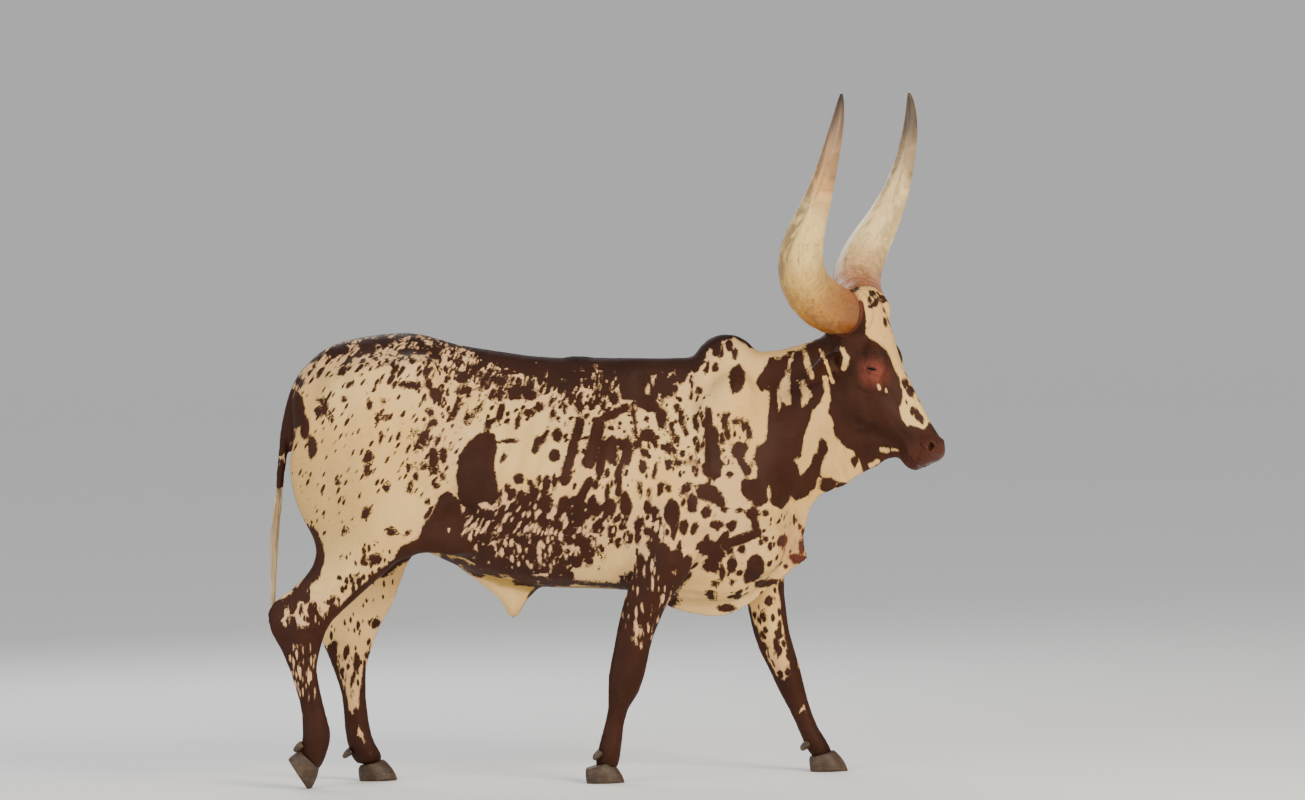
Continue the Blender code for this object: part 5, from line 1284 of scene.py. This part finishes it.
def makeHornMaterial(word):
    made, s, shader = newMaterial("hornSurface" + word.capitalize(), Roughness=0.42, Specular_IOR_Level=0.30,
                                  Coat_Weight=0.05, Coat_Roughness=0.3)
    place, share = s.read("hornPlace"), s.read("hornShare", "Fac")
    streaks = s.noise(s.mapped(place, (1, 1, 0.10)), 150.0, 4.0, 0.6)
    stretched = s.mapped(place, (1, 1, 0.28))
    wide, smear = s.noise(stretched, 26.0, 3.0), s.noise(stretched, 62.0, 4.0, 0.6)
    small = s.noise(place, 75.0, 3.0, 0.6)
    moved = s.plus(share, s.scaled(wide, 0.16, s.scaled(streaks, 0.10, -0.13, clamp=False), clamp=False))
    ramp = s.add("ShaderNodeValToRGB", {0: moved})
    for k, (stop, colour) in enumerate(hornSettings["colours"][word]):
        element = ramp.color_ramp.elements[k] if k < 2 else ramp.color_ramp.elements.new(stop)
        element.position, element.color = stop, (*colour, 1)
    colour = ramp.outputs["Color"]
    spread = s.scaled(small, 0.55, s.times(wide, 0.45), clamp=False)
    mottle = s.times(s.scaled(share, -2.6, 1.15), s.scaled(spread, 6.5, -2.95))
    stain = s.scaled(s.times(wide, streaks), 7.0, -2.3)
    away, chance = s.cells(place, 110.0, 120.0, 0.010)
    size = s.times(s.scaled(share, -0.80, 0.42), chance)
    specks = s.scaled(s.maths("SUBTRACT", size, away), 9.0, 0.4)
    # grime along the streaks, and painted shade down the horn's fore and hind sides, which make its dark edges
    # from the side
    across = s.parts(place)[0]
    ends = s.plus(s.scaled(across, -60.0, -1.6), s.scaled(across, 60.0, -2.3))
    edgeShade = s.times(ends, s.scaled(smear, 5.0, -1.7))
    lines = s.maths("MAXIMUM", s.scaled(streaks, 9.0, -4.9), s.scaled(smear, 8.0, -4.6))
    grime = s.maths("MAXIMUM", s.times(lines, s.scaled(small, 2.4, -0.5)), edgeShade)
    for key, mask, most in (("mottle", mottle, 0.95), ("stain", stain, 0.60), ("speck", specks, 0.75),
                            ("grime", grime, 0.74)):
        colour = s.mix(s.times(mask, most), colour, hornSettings[key])
    pale = s.times(s.scaled(streaks, 3.0, -1.4), 0.30)
    s.give(s.mix(pale, colour, hornSettings["pale"], blend="SOFT_LIGHT"), shader["Base Color"])
    s.give(s.bump(s.scaled(small, 0.5, streaks, clamp=False), 0.45, 0.0014), shader["Normal"])
    return made


# Hooves

hoofSettings = {
    "levels": 2, "crease": 0.42, "sharp": math.radians(48),
    "dark": (0.024, 0.013, 0.007, 1), "pale": (0.066, 0.036, 0.018, 1), "dust": (0.130, 0.085, 0.046, 1),
}


def makeHoof(name, material):
    hoof = copyOfNode(name, name.replace("_", "") + "Horn")
    onlySelect(hoof)
    bpy.ops.object.mode_set(mode="EDIT")
    bpy.ops.mesh.select_all(action="SELECT")
    bpy.ops.mesh.tris_convert_to_quads(face_threshold=math.radians(40), shape_threshold=math.radians(80))
    bpy.ops.mesh.select_all(action="DESELECT")
    bpy.ops.mesh.select_mode(type="EDGE")
    bpy.ops.mesh.edges_select_sharp(sharpness=hoofSettings["sharp"])
    bpy.ops.transform.edge_crease(value=hoofSettings["crease"])
    bpy.ops.object.mode_set(mode="OBJECT")
    finishWith(hoof, "SUBSURF", levels=hoofSettings["levels"], render_levels=hoofSettings["levels"])
    smooth(hoof)
    finished(hoof.name, hoof.data, material, [name])


def makeHoofMaterial():
    made, s, shader = newMaterial("hoofHorn", Roughness=0.52, Specular_IOR_Level=0.4)
    place = s.objectPlace()
    growth = s.noise(s.mapped(place, (0.10, 0.10, 1.0), (0, 0.35, 0)), 190.0, 3.0)
    colour = s.mix(s.scaled(growth, 2.0, -0.5), hoofSettings["dark"], hoofSettings["pale"])
    colour = s.mix(s.scaled(s.noise(place, 34.0, 4.0), 1.9, -0.85), colour, hoofSettings["dust"])
    s.give(colour, shader["Base Color"])
    s.give(s.bump(growth, 0.5, 0.002), shader["Normal"])
    return made


# Eyes and lids

eyeSettings = {
    "radius": 0.0200, "cornea": 0.0120, "bulge": 0.0010,
    "play": 0.0002,          # so that the ball stays inside the solid one
    "lashes": 34, "lashLong": (0.011, 0.017), "lashWide": 0.00055, "lashSteps": 4,
    "rim": (0.050, 0.022, 0.016, 1), "iris": (0.012, 0.005, 0.003, 1), "pupil": (0.004, 0.003, 0.004, 1),
}


def eyeAxes(side):
    turn = np.stack([headDown, headBack, headLeft], axis=1)
    out = turn @ np.array((0.06, -0.04, side))
    out /= np.linalg.norm(out)
    along = turn @ np.array((0.55, -0.83, 0.0))
    along -= out * (along @ out)
    along /= np.linalg.norm(along)
    return out, along, np.cross(out, along)


def makeEye(side, word, material):
    bpy.ops.object.select_all(action="DESELECT")
    u, v, w = head["eye"]
    centre, radius = atHead(u, v, w * side), eyeSettings["radius"]
    bpy.ops.mesh.primitive_uv_sphere_add(segments=48, ring_count=32, radius=radius - eyeSettings["play"],
                                         location=(0, 0, 0))
    eye = bpy.context.active_object
    eye.name = eye.data.name = "eyeball" + word.capitalize()
    mesh = eye.data
    points = pointsOf(mesh)
    away = np.hypot(points[:, 0], points[:, 1])
    bulge = eyeSettings["bulge"] * ease(1 - away / eyeSettings["cornea"]) * (points[:, 2] > 0)
    setVectors(mesh, "eyePlace", points / radius)
    local = points * (1 + bulge / radius)[:, None]
    out, along, across = eyeAxes(side)
    setPoints(mesh, centre + local[:, 0:1] * along + local[:, 1:2] * across + local[:, 2:3] * out)
    bpy.ops.object.shade_smooth()
    finished(eye.name, mesh, material, ["eye_" + word])


def makeLashes(side, word, draw, material):
    u, v, w = head["eye"]
    centre = atHead(u, v, w * side)
    out, along, across = eyeAxes(side)
    upward = across * -side
    wide, high, _ = faceSettings["opening"]
    steps, sides = eyeSettings["lashSteps"], 3
    points, faces = [], []
    for k in range(eyeSettings["lashes"]):
        t = -0.88 + 1.76 * k / (eyeSettings["lashes"] - 1) + draw.normal(0, 0.01)
        a, b = t * wide, high * (1 - t * t) * 0.98
        rise = math.sqrt(faceSettings["lid"] ** 2 - a * a - b * b) * 0.985
        root = centre + along * a + upward * b + out * rise
        long = draw.uniform(*eyeSettings["lashLong"])
        lean = along * (t * 0.5 + draw.normal(0, 0.06))
        base = len(points)
        for step in range(steps + 1):
            s = step / steps
            curl = upward * (0.10 * s - 0.42 * s * s + 0.20 * s ** 3)
            middle = root + (out * (s * 0.80) + curl + lean * s * 0.5) * long
            size = eyeSettings["lashWide"] * (1 - 0.9 * s)
            for corner in range(sides):
                turn = corner * 2 * math.pi / sides
                points.append(middle + along * math.cos(turn) * size + upward * math.sin(turn) * size)
        # turned round on the right, where the eye's axes are mirrored
        faces += [face[::side] for face in strandFaces(base, sides, steps)]
    mesh = meshFromArrays("lashes" + word.capitalize(), np.array(points), np.array(faces))
    setNumbers(mesh, "tone", np.full(len(points), 0.12))
    finished(mesh.name, mesh, material)


def makeEyeMaterial():
    made, s, shader = newMaterial("eyeSurface", Roughness=0.22, Specular_IOR_Level=0.10)
    across, upward, _ = s.parts(s.read("eyePlace"))
    iris = s.scaled(s.length(across, upward), -16.0, 10.6)
    pupil = s.scaled(s.length(across, s.times(upward, 2.1)), -22.0, 8.2)
    colour = s.mix(iris, eyeSettings["rim"], eyeSettings["iris"])
    s.give(s.mix(pupil, colour, eyeSettings["pupil"]), shader["Base Color"])
    return made


# Tail switch

switchSettings = {
    # down the hair's middle: x, z and radius
    "path": [(-1.0040, 0.9700, 0.0110), (-1.0063, 0.9438, 0.0125), (-1.018, 0.860, 0.0112),
             (-1.026, 0.770, 0.0100), (-1.031, 0.680, 0.0080), (-1.033, 0.600, 0.0055),
             (-1.033, 0.536, 0.0022)],
    "strands": 620, "sides": 3, "steps": 9, "wide": 0.0016,
    "top": 0.962, "foot": 0.534, "long": (0.14, 0.42), "tones": (0.80, 1.12),
    "straw": (0.60, 0.43, 0.22, 1), "pale": (0.80, 0.62, 0.36, 1), "root": (0.13, 0.075, 0.045, 1),
}


def makeSwitch(material, draw):
    path = np.array(switchSettings["path"])
    strands = switchSettings["strands"] // 1
    sides, steps = switchSettings["sides"], switchSettings["steps"]
    points, faces, tones = [], [], []
    xs, heights, radii = path[::-1].T
    for k in range(strands):
        base = k * sides * (steps + 1)
        top = switchSettings["top"] - 0.40 * (k / strands) ** 1.25
        end = max(switchSettings["foot"], top - draw.uniform(*switchSettings["long"]))
        turn = draw.uniform(0, 2 * math.pi)
        out = draw.uniform(0.35, 1.0)
        drift = draw.normal(0, 0.0022, 2)
        thick = switchSettings["wide"] * draw.uniform(0.7, 1.2)
        for step in range(steps + 1):
            t = step / steps
            z = top + (end - top) * t
            swell = 0.55 + 0.45 * math.sin(math.pi * min(1, t * 0.8 + 0.2))
            reach = np.interp(z, heights, radii) * out * swell
            cx = np.interp(z, heights, xs) + math.cos(turn) * reach + drift[0] * math.sin(t * 5)
            cy = math.sin(turn) * reach + drift[1] * math.sin(t * 4 + 1)
            size = thick * (1 - t ** 1.6 * 0.92) * (0.5 + 0.5 * min(1, t * 6))
            for corner in range(sides):
                angle = 2 * math.pi * corner / sides + turn
                points.append((cx + math.cos(angle) * size, cy + math.sin(angle) * size, z))
        faces += strandFaces(base, sides, steps)
        tones += [draw.uniform(*switchSettings["tones"])] * (sides * (steps + 1))
    mesh = meshFromArrays("tailSwitch", np.array(points) + shift, np.array(faces))
    setNumbers(mesh, "tone", np.array(tones))
    piece = finished("tailSwitch", mesh, material, ["tail_switch"])
    smooth(piece)


def makeSwitchMaterial():
    made, s, shader = newMaterial("switchHair", Roughness=0.50, Specular_IOR_Level=0.35, Sheen_Weight=0.1)
    place = s.objectPlace()
    colour = s.mix(s.noise(place, 14.0), switchSettings["straw"], switchSettings["pale"])
    top = s.scaled(s.parts(place)[2], 12.0, -11.0)
    colour = s.mix(s.times(top, 0.7), colour, switchSettings["root"])
    s.give(s.shade(colour, s.read("tone", "Fac")), shader["Base Color"])
    return made


# The build

skin = makeSkin()
sculpt(skin)
shapeFace(skin)
thinOut(skin)
skinMesh = skin.data
skinPoints = pointsOf(skinMesh)
corners = cornersOf(skinMesh)
marks, tint = markingsAt(skinPoints)
marks = fitMarks(skinPoints, corners, marks)
setVectors(skinMesh, "streakPlace", streakPlaceOf(skinPoints))
setVectors(skinMesh, "marks", marks)
setVectors(skinMesh, "tint", tint)
setNumbers(skinMesh, "tone", np.ones(len(skinPoints)))
setNumbers(skinMesh, "bare", bareness(skinPoints))
hideGroup = makeHideGroup()
hideSkin, hideCoat = makeHide("hideSkin", hideGroup, True), makeHide("hideCoat", hideGroup, False)
finished(skin.name, skinMesh, hideSkin, skinSettings["nodes"] + skinSettings["headNodes"])
print("skin painted")

draw = np.random.default_rng(coatSettings["seed"])
triangles = skinPoints[corners]
edgeOne, edgeTwo = triangles[:, 1] - triangles[:, 0], triangles[:, 2] - triangles[:, 0]
areas = np.linalg.norm(np.cross(edgeOne, edgeTwo), axis=1) / 2
middles = triangles.mean(axis=1)
middleLeft = middles[:, 1] - shift[1]
hairy = 1 - bareness(middles)
isHead = ease(inHead(middles) / 0.02 + 0.5)
isLeg = (1 - isHead) * ease((0.62 - middles[:, 2]) / 0.06) * (np.abs(middleLeft) > 0.05)
isTrunk = (1 - isHead) * (1 - isLeg)
skinArrays = (triangles, normalsOf(skinMesh)[corners], areas)
unwrap = unwrapOf(skin)
print("unwrap made")
isFront = middles[:, 0] - shift[0] > coatSettings["parting"]
coats = [("coat" + end + word, isTrunk * share * (middleLeft * side > 0), "trunk")
         for side, word in ((-1, "Right"), (1, "Left"))
         for share, end in ((isFront, "Fore"), (~isFront, "Hind"))]
coats += [("coatLegs", isLeg * (middles[:, 2] > 0.05), "legs"), ("coatHead", isHead * hairy, "head")]
for name, share, kind in coats:
    makeCoat(name, skinArrays, share, coatSettings[kind], draw, hideCoat, unwrap)

hoofMaterial, eyeMaterial = makeHoofMaterial(), makeEyeMaterial()
switchMaterial = makeSwitchMaterial()
for side, word in ((1, "left"), (-1, "right")):
    makeHorn(side, word, makeHornMaterial(word))
    makeEye(side, word, eyeMaterial)
    makeLashes(side, word, draw, switchMaterial)
for name in sorted(nodes):
    if "claw" in name:
        makeHoof(name, hoofMaterial)
print("horns, eyes and hooves made")
makeSwitch(switchMaterial, draw)
print("tail switch made")


# Floor, lights and camera

stageSettings = {
    "floor": (0.88, 0.87, 0.85, 1), "flat": 32.0, "rise": 13.0,
    "sky": (0.90, 0.92, 0.95, 1), "skyStrength": 0.62,
    "lights": [
        ("keyLight", (4.4, -5.6, 4.2), 3.0, 590, (1.0, 0.89, 0.72)),
        ("fillLight", (-4.5, -4.5, 2.6), 3.6, 190, (0.95, 0.96, 1.0)),
        ("rimLight", (-2.0, 4.6, 4.4), 3.0, 170, (0.95, 0.97, 1.0)),
    ],
    "distance": 25.0, "sensor": 36.0, "width": 1305,
}


def makeStage():
    bpy.ops.object.select_all(action="DESELECT")
    bpy.ops.mesh.primitive_circle_add(vertices=96, radius=1.0, fill_type="TRIFAN", location=(0, 0, 0))
    floor = bpy.context.active_object
    floor.name = "floor"
    bpy.ops.object.mode_set(mode="EDIT")
    bpy.ops.mesh.select_all(action="SELECT")
    bpy.ops.transform.resize(value=(stageSettings["flat"],) * 3)
    bpy.ops.mesh.select_all(action="DESELECT")
    bpy.ops.mesh.select_mode(type="EDGE")
    bpy.ops.mesh.select_non_manifold()
    reach, rise = stageSettings["flat"], stageSettings["rise"]
    for step in range(12):
        turn, onward = math.radians(7.5 * step), math.radians(7.5 * (step + 1))
        outward = rise * (math.sin(onward) - math.sin(turn))
        upward = rise * (math.cos(turn) - math.cos(onward))
        bpy.ops.mesh.extrude_edges_move(TRANSFORM_OT_translate={"value": (0, 0, upward)})
        wider = (reach + outward) / reach
        bpy.ops.transform.resize(value=(wider, wider, 1.0), center_override=(0, 0, 0))
        reach += outward
    bpy.ops.object.mode_set(mode="OBJECT")
    bpy.ops.object.shade_smooth()
    made, _, shader = newMaterial("floorSurface", Roughness=0.85)
    shader["Base Color"].default_value = stageSettings["floor"]
    floor.data.materials.append(made)
    world = bpy.data.worlds.new("studio")
    world.use_nodes = True
    world.node_tree.nodes["Background"].inputs[0].default_value = stageSettings["sky"]
    world.node_tree.nodes["Background"].inputs[1].default_value = stageSettings["skyStrength"]
    bpy.context.scene.world = world
    for name, place, size, power, colour in stageSettings["lights"]:
        bpy.ops.object.light_add(type="AREA", location=place)
        lamp = bpy.context.active_object
        lamp.name, lamp.data.size, lamp.data.energy, lamp.data.color = name, size, power, colour
        lamp.rotation_mode = "QUATERNION"
        lamp.rotation_quaternion = (Vector((0, 0, 0.9)) - Vector(place)).to_track_quat("-Z", "Y")


def makeCamera():
    middle = acrossAxis * drawing["middle"][0] + upAxis * drawing["middle"][1] + shift
    back = np.array((0.0, -cosRise, sinRise))
    place = middle + back * stageSettings["distance"]
    bpy.ops.object.camera_add(location=place)
    camera = bpy.context.active_object
    seen = drawing["step"] * stageSettings["width"]
    camera.data.sensor_width = stageSettings["sensor"]
    camera.data.lens = stageSettings["sensor"] * stageSettings["distance"] / seen
    rows = np.stack([acrossAxis, upAxis, back, place], axis=1).tolist()
    camera.matrix_world = Matrix(rows + [(0, 0, 0, 1)])
    camera.data.clip_end = 200
    bpy.context.scene.camera = camera


makeStage()
makeCamera()
print("stage and camera made")
